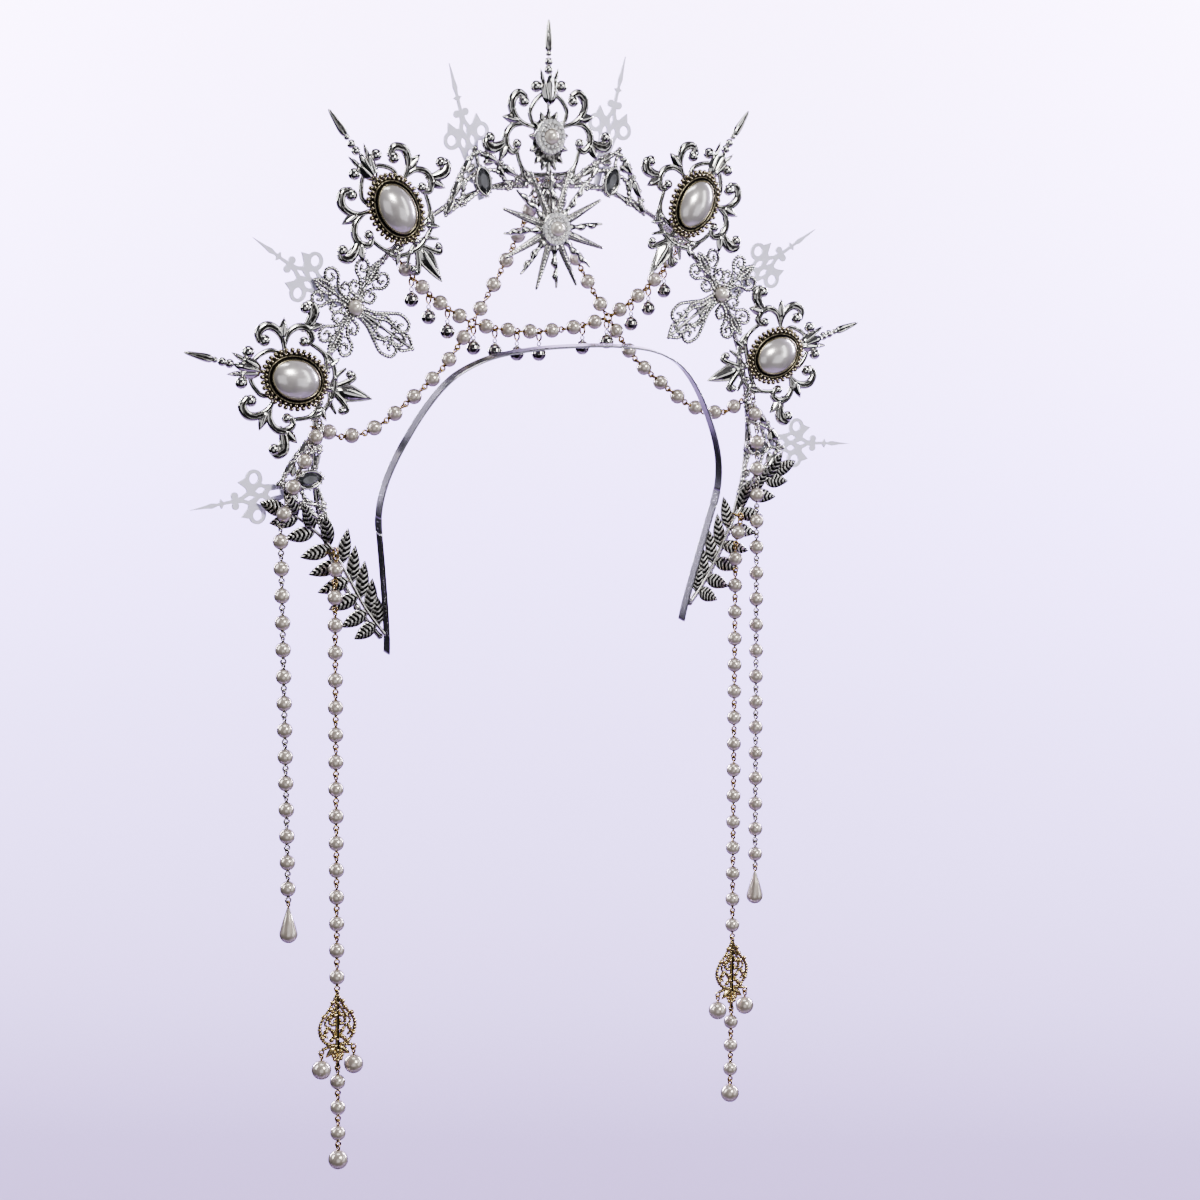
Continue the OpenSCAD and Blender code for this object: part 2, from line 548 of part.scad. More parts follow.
module inner(j, s) {
    m = ring_mid(in_q, in_u);
    color(pearl) {
        beads(j, ka = 0);
        tangent_ring(s * 110.5, halo_r - 0.1, 1.5, in_size);
        jump([s * m[0], m[1], m[2]], [1, 0, 0], 1.9);
    }
}
module inner_left() { inner(inner_l, -1); }
module inner_right() { inner(inner_r, 1); }

// cast drop at the foot of an inner string, and the pearls below it
module wire_ring(p, r = loop_r) {
    translate([p[0], p[1], 0]) rotate_extrude($fn = 10) translate([r, 0]) circle(wr, $fn = 4);
}
module pendant(j) {
    p = j[len(j) - 1];
    w = 0.8;
    color(gold) translate(W(p)) rotate([90, 0, 0]) union() {
        translate([0, -eye, 0]) rotate([0, 90, 0]) wire_ring([0, 0]);
        wire_ring([0, -37.2]);
        both() {
            scroll([[0.4, -2.6, 0.9], [3.6, -8, w], [8.6, -14.4, w], [9.2, -19, 1.0],
                [6.8, -24, w], [0.6, -27, w]], h = 1);
            scroll([[0.3, -23.5, w], [4.6, -17.4, w], [7.0, -20.2, w]], h = 1);
            scroll([[0.2, -9.6, w], [4.2, -14.4, w], [1.7, -16.6, w]], h = 1);
            scroll([[2, -26, w], [7.8, -27.4, w]], h = 1);
            wire_ring([8.6, -28.7]);
            for (q = [[2.7, -5.4], [7.4, -11.6]]) gem(q, 1.4, 0.3);
        }
        scroll([[0, -1.9, w], [0, -26, 0.9], [0, -36.2, w]], h = 1);
        for (i = [0 : 7]) translate([0, -31.4, 0]) rotate(45 * i) leaf([0, 0.9], [0, 3.4], 1.9, 0.2);
        gem([0, -31.4], 1.9, 0.5);
    }
}
module tail(j) {
    p = j[len(j) - 1];
    q = p + [0, -37.2 - eye, 0];
    color(pearl) {
        beads([for (i = [0 : 3]) q + [0, -pitch * i, 0]]);
        hanging(q + [0, -3 * pitch, 0], 4.7, 6.7);
        for (s = [-1, 1]) hanging(p + [s * 8.6, -28.7 - eye, 0], 4.6, 7.4);
    }
}
// single pearl of radius r on an eye pin, its middle l below the joint
module hanging(p, r, l) {
    along(p, p + [0, -1, 0]) {
        translate([0, 0, eye]) rotate(90) hoop();
        translate([0, 0, eye + loop_r]) cylinder(r = wr * 0.9, h = l - eye - loop_r);
        translate([0, 0, l]) sphere(r);
    }
}
module pendant_left() { pendant(inner_l); }
module pendant_right() { pendant(inner_r); }
module tail_left() { tail(inner_l); }
module tail_right() { tail(inner_r); }

// swag between the upper medallions, with two rings where other strings join it
swag_d = -0.4;
cross_ring = [38.5, 57.5, swag_d];
up_q = ring_point(41.7, halo_r - 0.6, swag_d + 0.2, 2.2, 180);
up_u = [-0.665, -0.747, 0];
// joint of a loop on the crossing ring, the string leaving it along the direction t
function off_ring(t) = cross_ring + (2.1 - grip) * unit(t);
swag_side = joints([ring_end(up_q, up_u, up_u) + grip * [0.68, 0.73, 0], [69, 77.9, swag_d],
    [56, 67.3, swag_d], off_ring([0.88, 0.48, 0])], 4);
swag_mid = joints([flip([off_ring([-0.98, -0.18, 0])])[0], [-18.6, 53.5, swag_d],
    [0, 52.4, swag_d], [18.6, 53.5, swag_d], off_ring([-0.98, -0.18, 0])], 6);
module swag_end() {
    beads(swag_side, kb = 1);
    tangent_ring(41.7, halo_r - 0.6, swag_d + 0.2, 2.2);
    jump(ring_mid(up_q, up_u), [0, 0, 1], 1.9);
    jump(cross_ring, [0, 0, 1], 2.1);
}
module centre_swag() {
    color(pearl) {
        both() swag_end();
        beads(swag_mid, kb = 1);
    }
}
// bell hung from point c, the top of its ring
module bell(c) {
    translate(W(c)) {
        translate([0, 0, -1.6]) rotate([0, 90, 0]) rotate_extrude() translate([1.6, 0])
            circle(0.28);
        translate([0, 0, -6.5]) cylinder(r = 0.5, h = 3.2);
        translate([0, 0, -9.1]) difference() {
            union() {
                sphere(3.1);
                rotate_extrude() translate([3.1, 0]) circle(0.3);
                cylinder(r = 1.2, h = 3.4);
            }
            translate([-0.35, -4, -4]) cube([0.7, 8, 3]);
            translate([-4, -0.35, -4]) cube([8, 0.7, 3]);
        }
    }
}
// the point where a bell's ring passes through the face-on loop before joint i
function bell_at(j, i) = let (t = (j[i] - j[i - 1]) / norm(j[i] - j[i - 1]))
    j[i] - (eye + 0.3) * t + 0.45 * [t[1], -t[0], 0] * (t[0] > 0 ? 1 : -1);
module bells() {
    color(silver) {
        both() {
            for (i = [1 : 3]) bell(bell_at(swag_side, i));
            bell(cross_ring + [-0.75, -1.2, 0]);
        }
        for (i = [1, 2, 3, 5]) bell(bell_at(swag_mid, i));
    }
}
star_q = ring_point(1.7, halo_r - 0.6, swag_d + 0.2, 2.2, 180);
star_u = [0.08, -1, 0];
star_q2 = ring_end(star_q, star_u, star_u);
star_j = joints([ring_end(star_q2, star_u, star_u) + grip * [-0.47, 0.88, 0], [20.6, 84.6, swag_d],
    off_ring([-0.54, 0.84, 0])], 5);
module star_string() {
    color(pearl) {
        beads(star_j, ka = 0, kb = 1);
        tangent_ring(1.7, halo_r - 0.6, swag_d + 0.2, 2.2);
        jump(ring_mid(star_q, star_u), [0, 0, 1], 1.9);
        jump(ring_mid(star_q2, star_u), [1, 0, 0], 1.9);
    }
}
side_j = joints([off_ring([0.65, -0.76, 0]), [51.2, 40.6, swag_d], [60, 32.6, swag_d],
    [69.8, 25, swag_d], [80, 18, swag_d], [89, 12, swag_d], [98.5, 8.8, swag_d],
    [107, 8.2, swag_d], [114, 9.4, swag_d],
    ring_point(83.6, halo_r - 0.3, swag_d - 0.1, 2.1, 180) + grip * [0.9, 0.44, 0]], 8);
module side_swag() {
    color(pearl) {
        beads(side_j, kb = 0);
        tangent_ring(83.6, halo_r - 0.3, swag_d - 0.1, 2.1);
    }
}
module star_string_right() { star_string(); }
module star_string_left() { mirror([1, 0, 0]) star_string(); }
module side_swag_right() { side_swag(); }
module side_swag_left() { mirror([1, 0, 0]) side_swag(); }

module medallion_1() { medallion(-med_a2, med_r[0]); }
module medallion_2() { medallion(-med_a1, med_r[1]); }
module medallion_3() { medallion(0, med_r[2], true); }
module medallion_4() { medallion(med_a1, med_r[3]); }
module medallion_5() { medallion(med_a2, med_r[4]); }
module bezel_1() { bezel(-med_a2, med_r[0]); }
module bezel_2() { bezel(-med_a1, med_r[1]); }
module bezel_4() { bezel(med_a1, med_r[3]); }
module bezel_5() { bezel(med_a2, med_r[4]); }
module dome_1() { dome(-med_a2, med_r[0]); }
module dome_2() { dome(-med_a1, med_r[1]); }
module dome_4() { dome(med_a1, med_r[3]); }
module dome_5() { dome(med_a2, med_r[4]); }
module link_1() { link(link_a[0]); }
module link_2() { link(link_a[1]); }
module link_3() { link(link_a[2]); }
module link_4() { link(link_a[3]); }
module link_stone_1() { link_stone(link_a[0]); }
module link_stone_2() { link_stone(link_a[1]); }
module link_stone_3() { link_stone(link_a[2]); }
module link_stone_4() { link_stone(link_a[3]); }
module cross_left() { cross_piece(-cross_a); }
module cross_right() { cross_piece(cross_a); }
module cross_pearl_left() { cross_pearl(-cross_a); }
module cross_pearl_right() { cross_pearl(cross_a); }
module hand_1() { hand(0); }
module hand_2() { hand(1); }
module hand_3() { hand(2); }
module hand_4() { hand(3); }
module hand_5() { hand(4); }
module hand_6() { hand(5); }
module branch_right() { branch(); }
module branch_left() { mirror([1, 0, 0]) branch(); }

hairband();
arch_wire();
medallion_1();
medallion_2();
medallion_3();
medallion_4();
medallion_5();
bezel_1();
bezel_2();
bezel_4();
bezel_5();
dome_1();
dome_2();
dome_4();
dome_5();
rosette();
rosette_pearl();
link_1();
link_2();
link_3();
link_4();
link_stone_1();
link_stone_2();
link_stone_3();
link_stone_4();
cross_left();
cross_right();
cross_pearl_left();
cross_pearl_right();
hand_1();
hand_2();
hand_3();
hand_4();
hand_5();
hand_6();
star();
star_ring();
star_pearl();
branch_left();
branch_right();
outer_left();
outer_right();
drop_left();
drop_right();
inner_left();
inner_right();
pendant_left();
pendant_right();
tail_left();
tail_right();
centre_swag();
bells();
star_string_left();
star_string_right();
side_swag_left();
side_swag_right();
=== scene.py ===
# %% [markdown]
# This notebook dresses a halo crown: a wire arch on a thin hairband, which carries silver castings
# with pearl domes, filigree, painted clock hands, a star brooch, leaf branches and pearl strings.
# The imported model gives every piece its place, so the first step loads it as a fixed frame.
# %% Load the frame
import math

import bpy
import numpy as np
from mathutils import Matrix

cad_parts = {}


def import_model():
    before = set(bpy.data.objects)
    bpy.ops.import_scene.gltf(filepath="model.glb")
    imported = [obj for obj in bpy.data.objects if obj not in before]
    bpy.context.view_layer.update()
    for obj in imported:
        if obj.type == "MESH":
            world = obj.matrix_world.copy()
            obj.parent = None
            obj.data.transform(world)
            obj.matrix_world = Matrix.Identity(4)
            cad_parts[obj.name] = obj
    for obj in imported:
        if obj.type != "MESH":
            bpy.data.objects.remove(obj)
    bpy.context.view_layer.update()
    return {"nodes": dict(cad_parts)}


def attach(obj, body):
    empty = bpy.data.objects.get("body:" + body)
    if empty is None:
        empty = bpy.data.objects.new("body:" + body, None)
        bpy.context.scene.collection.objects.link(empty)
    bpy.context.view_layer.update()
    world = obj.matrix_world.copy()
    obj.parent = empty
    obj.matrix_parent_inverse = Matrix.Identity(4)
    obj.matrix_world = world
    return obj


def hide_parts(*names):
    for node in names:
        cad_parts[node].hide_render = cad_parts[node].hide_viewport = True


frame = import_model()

MM = 0.001

# %% [markdown]
# The halo is flat, so its ornaments are easiest to draw in a flat frame of their own: x sideways,
# y outward from the halo's centre and z towards the front, in millimetres. One function turns
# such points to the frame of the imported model, which is in metres with z up. The others are the
# turns, circles and directions that every later step needs.
# %% The halo's own frame
HALO_R, HALO_DROP, HALO_BACK = 123.5, 46.7, 26.0


def world(p, angle, radius):
    """Moves p outward by radius, turns it by angle from straight up, and tips x, y, z to x, -z, y."""
    a = math.radians(angle)
    x, y, z = p[..., 0], p[..., 1] + radius, p[..., 2]
    across, up = x * math.cos(a) + y * math.sin(a), y * math.cos(a) - x * math.sin(a)
    return np.stack([across, HALO_BACK - z, up - HALO_DROP], -1) * MM


def about(axis, degrees):
    """Turn about axis 0, 1 or 2: cosines at the other two axes' places, -sine and sine between."""
    m, i, j = np.eye(3), (axis + 1) % 3, (axis + 2) % 3
    m[i, i] = m[j, j] = math.cos(math.radians(degrees))
    m[j, i] = math.sin(math.radians(degrees))
    m[i, j] = -m[j, i]
    return m


def around(n):
    """n angles at equal steps of a full turn."""
    return np.arange(n) * 2 * np.pi / n


def circle(n):
    """n points of a circle of radius 1."""
    return np.stack([np.cos(around(n)), np.sin(around(n))], -1)


def unit(v):
    """v divided by its length."""
    return np.asarray(v, float) / np.linalg.norm(v)


def stand(thing, x, y, z, where):
    """Links an object with its axes along x, y and z and its origin at where, in metres."""
    thing.matrix_world = Matrix([*np.stack([x, y, z, where], 1).tolist(), [0, 0, 0, 1]])
    bpy.context.scene.collection.objects.link(thing)


# %% [markdown]
# The camera stands to the left of the halo's middle and a little above it, far away with a long
# lens. Its place was worked out from mirrored points of the arch, as a turn about the upright
# axis, a tilt and a roll, and the way from the camera to the halo's centre.
# %% Camera
TURN, TILT, ROLL = -34.71, 9.43, 0.46
TO_CENTRE = np.array([-28.1, -75.3, 1426.9])
FOCAL_PX, FRAME_PX = 3000.0, 1200.0

tip = np.array([[1, 0, 0], [0, 0, 1], [0, -1, 0]])  # x, down, away to the frame's x, y, z
rows = about(2, ROLL) @ about(0, TILT) @ about(1, TURN)
place = tip @ (-rows.T @ TO_CENTRE) + [0, HALO_BACK, -HALO_DROP]
right, down, forward = (tip @ row for row in rows)

lens = bpy.data.cameras.new("camera")
lens.sensor_width = 36.0
lens.lens = FOCAL_PX / FRAME_PX * lens.sensor_width
lens.clip_start, lens.clip_end = 0.05, 20.0
camera = bpy.data.objects.new("camera", lens)
stand(camera, right, -down, -forward, place * MM)
bpy.context.scene.camera = camera
print("camera at", [round(v) for v in place], "mm, lens", lens.lens, "mm")

# %% [markdown]
# Every new piece is a set of closed skins. A skin is a grid of points: rows along the piece, and
# points round each row. One class gathers the skins of a piece, closes their ends, turns their
# faces outwards and makes the mesh. With each point goes a number called worn, which says how
# much of the dark tarnish has been rubbed off there: 0 in a groove, 1 on a ridge.
# %% Skins and meshes


class Skins:
    """Closed grids of points that make up one piece, in its own flat frame. Each grid is
    multiplied by the matrix turn as it is added."""

    def __init__(self):
        self.points, self.loops, self.sizes = [], [], []
        self.worn, self.finish, self.smooth = [], [], []
        self.count, self.turn = 0, np.eye(3)

    def add(self, grid, worn=0.5, finish=0, ring=False, smooth=True):
        """Joins point (i, j) of the grid to (i + 1, j) and (i, j + 1), round and round in j.

        The first and last rows are closed by a point at their middle, or joined to each other
        where ring is true. The sum of the faces' corner products, six times the volume, says
        whether the faces point outwards, and they are turned round where it is negative.
        """
        n, m = grid.shape[:2]
        i, j = np.meshgrid(np.arange(n if ring else n - 1), np.arange(m), indexing="ij")
        k, l = (i + 1) % n, (j + 1) % m
        quads = np.stack([i * m + j, i * m + l, k * m + l, k * m + j], -1).reshape(-1, 4)
        p = grid.reshape(-1, 3) @ self.turn
        shade = np.broadcast_to(worn, (n, m)).reshape(-1)
        tris = np.zeros((0, 3), int)
        if not ring:
            a = np.arange(m)
            b, last = (a + 1) % m, (n - 1) * m
            tris = np.concatenate([np.stack([np.full(m, n * m), b, a], 1),
                                   np.stack([np.full(m, n * m + 1), last + a, last + b], 1)])
            p = np.concatenate([p, [p[:m].mean(0)], [p[-m:].mean(0)]])
            shade = np.concatenate([shade, [shade[:m].mean(), shade[-m:].mean()]])
        q = p - p.mean(0)
        corner = np.concatenate([quads[:, [0, 1, 2]], quads[:, [0, 2, 3]], tris])
        if np.einsum("ij,ij->", q[corner[:, 0]], np.cross(q[corner[:, 1]], q[corner[:, 2]])) < 0:
            quads, tris = quads[:, ::-1], tris[:, ::-1]
        self.points.append(p)
        self.worn.append(shade)
        self.loops += [quads.ravel() + self.count, tris.ravel() + self.count]
        self.sizes += [np.full(len(quads), 4), np.full(len(tris), 3)]
        self.finish.append(np.full(len(quads) + len(tris), finish))
        self.smooth.append(np.full(len(quads) + len(tris), smooth))
        self.count += len(p)

    def both(self, grid, worn=0.5, **how):
        """Adds the grid and its mirror image in x."""
        self.add(grid, worn, **how)
        self.add(grid * [-1, 1, 1], worn, **how)


def make(name, skins, finishes, slot, nodes, angle=0.0, radius=0.0):
    """Makes a mesh of the skins, turned and moved to its place on the halo, and rides it."""
    mesh = bpy.data.meshes.new(name)
    points = world(np.concatenate(skins.points), angle, radius)
    loops, sizes = np.concatenate(skins.loops), np.concatenate(skins.sizes)
    mesh.vertices.add(len(points))
    mesh.vertices.foreach_set("co", points.ravel())
    mesh.loops.add(len(loops))
    mesh.loops.foreach_set("vertex_index", loops)
    mesh.polygons.add(len(sizes))
    mesh.polygons.foreach_set("loop_start", np.cumsum(sizes) - sizes)
    mesh.polygons.foreach_set("material_index", np.concatenate(skins.finish))
    mesh.polygons.foreach_set("use_smooth", np.concatenate(skins.smooth))
    worn = mesh.attributes.new("worn", "FLOAT", "POINT")
    worn.data.foreach_set("value", np.concatenate(skins.worn))
    mesh.update(calc_edges=True)
    for finish in finishes:
        mesh.materials.append(finish)
    piece = bpy.data.objects.new(name, mesh)
    bpy.context.scene.collection.objects.link(piece)
    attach(piece, "root")
    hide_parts(*nodes)
    print(name, len(sizes), "faces")


# %% [markdown]
# Cast scrolls, wires and rays are all bars that taper along a smooth curve. The curve passes
# through a few control points, so a scroll is drawn with five or six of them. The section is
# round, with a groove along the front for a cast scroll, beads along it for a millgrain wire,
# or two strands wound round each other for a rope wire. Leaves and balls go with them.
# %% Curves, bars, leaves and balls


def smooth_curve(points, k=6):
    """Catmull-Rom curve in k steps a span: from b to c with neighbours a and d it is half of
    2b + (c - a)t + (2a - 5b + 4c - d)t^2 + (3b - 3c + d - a)t^3."""
    p = np.asarray(points, float)
    i, n = np.arange(len(p) - 1), len(p)
    a, b, c, d = (p[q][:, None] for q in (np.maximum(i - 1, 0), i, i + 1, np.minimum(i + 2, n - 1)))
    t = (np.arange(k) / k)[None, :, None]
    span = 0.5 * (2 * b + (c - a) * t + (2 * a - 5 * b + 4 * c - d) * t**2
                  + (3 * b - 3 * c + d - a) * t**3)
    return np.concatenate([span.reshape(-1, p.shape[1]), p[-1:]])


def lengths(c):
    """Way along the points of c, from 0 at the first."""
    return np.concatenate([[0], np.cumsum(np.linalg.norm(np.diff(c, axis=0), axis=1))])


def bar(points, z, height=0.9, k=6, sides=14, groove=0.0, grain=0.0, twist=0.0, pitch=1.4):
    """Bar along [x, y, radius] points, its ends rounded.

    A section point at angle q stands r cos q sideways and height r sin q to the front. The
    radius r is cut by groove at the front, swells by grain once every pitch, and swells by
    twist on two opposite sides that turn once every two pitches.
    """
    c = smooth_curve(points, k)
    step = np.gradient(c[:, :2], axis=0)
    t = step / np.linalg.norm(step, axis=1, keepdims=True)
    f = np.radians([72.0, 48.0, 24.0])[:, None]
    head = np.hstack([c[0, :2] - t[0] * c[0, 2] * np.sin(f), c[0, 2] * np.cos(f)])
    tail = np.hstack([c[-1, :2] + t[-1] * c[-1, 2] * np.sin(f), c[-1, 2] * np.cos(f)])[::-1]
    c = np.concatenate([head, c, tail])
    t = np.concatenate([np.repeat(t[:1], 3, 0), t, np.repeat(t[-1:], 3, 0)])
    along = lengths(c[:, :2])[:, None]
    q = around(sides)
    front = np.exp(-(((q - np.pi / 2) / 0.5) ** 2))
    swell = np.abs(np.sin(np.pi * along / pitch))
    wound = np.cos(2 * q - 2 * np.pi * along / pitch)
    r = c[:, 2:] * (1 - grain + grain * swell) * (1 + twist * wound) * (1 - groove * front)
    across = np.stack([-t[:, 1], t[:, 0]], 1)[:, None, :] * (r * np.cos(q))[..., None]
    grid = np.concatenate([c[:, None, :2] + across, (z + height * r * np.sin(q))[..., None]], -1)
    worn = 0.55 + 0.45 * np.maximum(np.sin(q), 0) - (1.1 if groove else 0) * front + 0 * r
    worn = worn - (0.7 if grain else 0) * (1 - swell) + (0.45 if twist else 0) * wound
    return grid, np.clip(worn, 0, 1)


def leaf(a, b, width, z, thick, rise=0.0, veins=0, sides=18):
    """Pointed leaf from a to b: half its width is sin(pi s^0.75)^0.85, with s from 0 to 1 along it.

    Its face is a low arch with a raised middle rib, and veins slanting ribs a side: the cosine
    of 2 pi (veins s - 1.1 |t|), where t runs from -1 to 1 across the leaf.
    """
    a, b = np.array([*a, z], float), np.array([*b, z + rise], float)
    way = (b - a)[:2] / np.linalg.norm((b - a)[:2])
    s = np.linspace(0.015, 0.985, 4 * veins + 2 if veins else 14)[:, None]
    t, up = circle(sides).T
    top = up > 0
    rib = np.clip(1 - np.abs(t) / 0.22, 0, 1)
    if veins:
        ribs = np.cos(2 * np.pi * (veins * s - 1.1 * np.abs(t)))
        h = 0.42 * up + top * (0.3 * rib + 0.22 * ribs * (1 - rib) * up)
        face = np.maximum(0.45 + 0.8 * ribs, 0.9 * np.clip((np.abs(t) - 0.8) / 0.15, 0, 1))
    else:
        h, face = np.where(top, 0.62 * (1 - np.abs(t)) + 0.1 * up, 0.4 * up), 0.75
    half = width / 2 * np.sin(np.pi * s**0.75) ** 0.85
    side = np.array([-way[1], way[0], 0]) * (half * t)[..., None]
    lift = (thick * h * np.minimum(1, 6 * s * (1 - s)))[..., None] * np.array([0, 0, 1.0])
    worn = np.where(top, np.where(rib > 0.4, 0.95, face), 0.6) + 0 * s
    return a + (b - a) * s[..., None] + side + lift, np.clip(worn, 0, 1)


def layered(outline, rows):
    """Grid of one outline: row [k, h] is the outline times k at height h, and row [w, l, h] is
    w times its x and l times its y."""
    rows = np.asarray(rows, float)[:, None]
    flat = outline * rows[..., :-1]
    return np.concatenate([flat, np.broadcast_to(rows[..., -1:], (*flat.shape[:2], 1))], -1)


def ball(centre, r, flat=1.0, rows=9, sides=14):
    """Sphere of radius r, flat times as high: latitudes from -82 to 82 degrees, then a pole."""
    f = np.radians(np.linspace(-82, 82, rows))
    grid = layered(circle(sides), np.stack([np.cos(f), flat * np.sin(f)], 1))
    return np.asarray(centre, float) + r * grid, np.clip(0.7 + 0.5 * np.sin(f), 0.5, 1)[:, None]


def turned(profile, foot, axis, sides=24, lean=(0.31, 0.52, 0.8)):
    """Turned form: profile point [r, h] goes r out from the axis and h along it from foot."""
    axis = unit(axis)
    x, q = unit(np.cross(axis, lean)), around(sides)[:, None]
    r, h = np.asarray(profile, float).T[..., None, None]
    return np.asarray(foot, float) + axis * h + r * (np.cos(q) * x + np.sin(q) * np.cross(axis, x))


def ring(centre, axis, r, w, n=20):
    """Wire of radius w bent to a circle of radius r about the axis: w cos q out, w sin q along."""
    return turned(circle(8) * w + [r, 0], centre, axis, n, (0.3, 0.5, 0.81))


def draw(s, z, bars=(), leaves=(), balls=(), pair=True, lift=0.0, flat=0.9, mesh=(7, 10), **how):
    """Adds bars, leaves [x, y, tip's x, tip's y, width, lift, thickness] and balls [x, y, radius]
    to s, and their mirror images where pair is true."""
    put = s.both if pair else s.add
    for row in bars:
        put(*bar(row, z, **how))
    for x, y, tip_x, tip_y, width, up, thick in leaves:
        put(*leaf([x, y], [tip_x, tip_y], width, z + up, thick))
    for x, y, r in balls:
        put(*ball([x, y, z + lift], r, flat, *mesh))


def wreath(put, x, y, z, reach, n, r, phase=0.0, flat=0.8, mesh=(7, 10)):
    """Puts n balls in a circle: ball b stands reach sin b sideways and reach cos b outward."""
    for b in around(n) + phase:
        put(*ball([x + reach * np.sin(b), y + reach * np.cos(b), z], r, flat, *mesh))


# %% [markdown]
# Materials come next. Colours are picked as sRGB hex values and one function turns them to the
# linear values that Blender works with. A second one adds a node, sets it and links it, and the
# others use it for what repeats. Every pattern reads Object coordinates, so its scale is one
# over a real size in metres.
# %% Helpers for materials


def linear(code):
    """sRGB hex to linear: v / 12.92 below 0.04045, and ((v + 0.055) / 1.055)^2.4 above it."""
    v = np.array([int(code[i:i + 2], 16) / 255 for i in (1, 3, 5)])
    return (*np.where(v < 0.04045, v / 12.92, ((v + 0.055) / 1.055) ** 2.4), 1.0)


def add(tree, kind, inputs=None, **settings):
    """Adds a node. inputs maps a socket to a value or to the output that feeds it."""
    node = tree.nodes.new(kind)
    for key, value in settings.items():
        setattr(node, key, value)
    for key, value in (inputs or {}).items():
        if isinstance(value, bpy.types.NodeSocket):
            tree.links.new(value, node.inputs[key])
        else:
            node.inputs[key].default_value = value
    return node


def start(name):
    """A new material with nothing in it, and its tree."""
    material = bpy.data.materials.new(name)
    material.use_nodes = True
    material.node_tree.nodes.clear()
    return material, material.node_tree


def clouds(tree, size, kind="ShaderNodeTexNoise", **more):
    """A texture whose clouds or cells are size mm wide, as a number from 0 to 1."""
    place = add(tree, "ShaderNodeTexCoord").outputs["Object"]
    return add(tree, kind, {"Vector": place, "Scale": 1 / (size * MM), **more}).outputs[0]


def ramp(tree, level, *stops):
    """Colours by level: each stop is a place from 0 to 1 and its colour."""
    node = add(tree, "ShaderNodeValToRGB", {"Fac": level})
    for i, (place, colour) in enumerate(stops):
        stop = node.color_ramp.elements[i] if i < 2 else node.color_ramp.elements.new(place)
        stop.position, stop.color = place, linear(colour)
    return node.outputs["Color"]


def rescale(tree, value, ends, to=(0.0, 1.0), kind="LINEAR"):
    """Turns the range ends of a number to the range to, held at its ends."""
    return add(tree, "ShaderNodeMapRange", {
        "Value": value, "From Min": ends[0], "From Max": ends[1], "To Min": to[0], "To Max": to[1]},
        interpolation_type=kind).outputs[0]


def bumps(tree, height, depth, strength):
    """The surface raised by height, depth mm at most."""
    return add(tree, "ShaderNodeBump", {"Height": height, "Distance": depth * MM,
                                        "Strength": strength}).outputs["Normal"]


def coat(tree, sockets):
    """Ends a material: one shader with those sockets set, and the output."""
    shader = add(tree, "ShaderNodeBsdfPrincipled", sockets)
    add(tree, "ShaderNodeOutputMaterial", {"Surface": shader.outputs[0]})


# %% [markdown]
# Antiqued castings are dipped in a dark oxide and polished, which leaves black in the grooves
# and bare metal on the ridges. The colour therefore follows the worn number of each point, with
# some blotches, and the dark places are also the rougher ones. Metals keep the default IOR.
# %% Metals


def metal(name, bright, dark, rough, rough_dark, cover=0.5, blotch=1.6, skin=0.25, depth=0.02,
          worn=None):
    """Polished metal over dark oxide. blotch and skin are the sizes of the stains and of the
    surface's unevenness in mm, and bare metal shows where worn is over cover, give or take 0.2.
    A fixed worn number gives an even finish."""
    material, tree = start(name)
    if worn is None:
        worn = add(tree, "ShaderNodeAttribute", attribute_name="worn").outputs["Fac"]
    stains = clouds(tree, blotch, Detail=3.0, Roughness=0.6)
    level = add(tree, "ShaderNodeMath", {0: stains, 1: 0.9, 2: worn}, operation="MULTIPLY_ADD")
    bare = rescale(tree, level.outputs[0], (cover + 0.23, cover + 0.63), kind="SMOOTHSTEP")
    coat(tree, {"Base Color": ramp(tree, bare, (0.0, dark), (1.0, bright)), "Metallic": 1.0,
                "Roughness": rescale(tree, bare, (0.0, 1.0), (rough_dark, rough)),
                "Normal": bumps(tree, clouds(tree, skin, Detail=2.0), depth, 0.6)})
    return material


# bright ridges with black grooves, as on a plated and antiqued zinc casting
CAST = metal("antiqued_silver_plated_zinc_casting", "#C6C4C1", "#151414", 0.13, 0.4, 0.34,
             skin=1.1, depth=0.06)
# darker and softer than the castings: the wire is only wiped, not polished
WIRE = metal("antiqued_steel_wire", "#A09E9B", "#171616", 0.18, 0.45, 0.45, 2.4, 0.9, 0.05)
# olive brown brass with paler tops, from a brass bezel blackened and rubbed
BRASS = metal("antique_brass_bezel", "#8A826C", "#100E0A", 0.2, 0.5, 0.64, 0.9)
# bright white metal with dark gaps, from a thin flash over grained wire
FILIGREE = metal("bright_silver_grained_wire", "#DCDBD9", "#121111", 0.16, 0.4, 0.48,
                 skin=0.5, depth=0.04)
# grained wire of the links and the star: more oxide is left between its grains
LINK_WIRE = metal("antiqued_silver_grained_wire", "#CAC8C5", "#0F0E0E", 0.15, 0.42,
                  skin=0.8, depth=0.05)
# the same silver on rope wire, black between the strands where no cloth reaches
ROPE_WIRE = metal("antiqued_silver_twisted_wire", "#C2C1BF", "#0A090A", 0.18, 0.45, 0.7,
                  skin=0.5, depth=0.03)
# dark leaf with rubbed ribs
LEAF = metal("antiqued_silver_leaf_casting", "#C8C6C2", "#090808", 0.2, 0.5, 0.66, skin=0.8,
             depth=0.04)
# thin gold plate on fine brass wire, a little brown where it has rubbed
GOLD = metal("gold_plated_brass_wire", "#8C774C", "#1A130A", 0.2, 0.38, 0.68, 1.0)
# the outer strings' wire is silver plated and has gone grey
GREY_PIN = metal("tarnished_silver_plated_wire", "#9C978F", "#14120F", 0.2, 0.38, 0.68, 1.0)
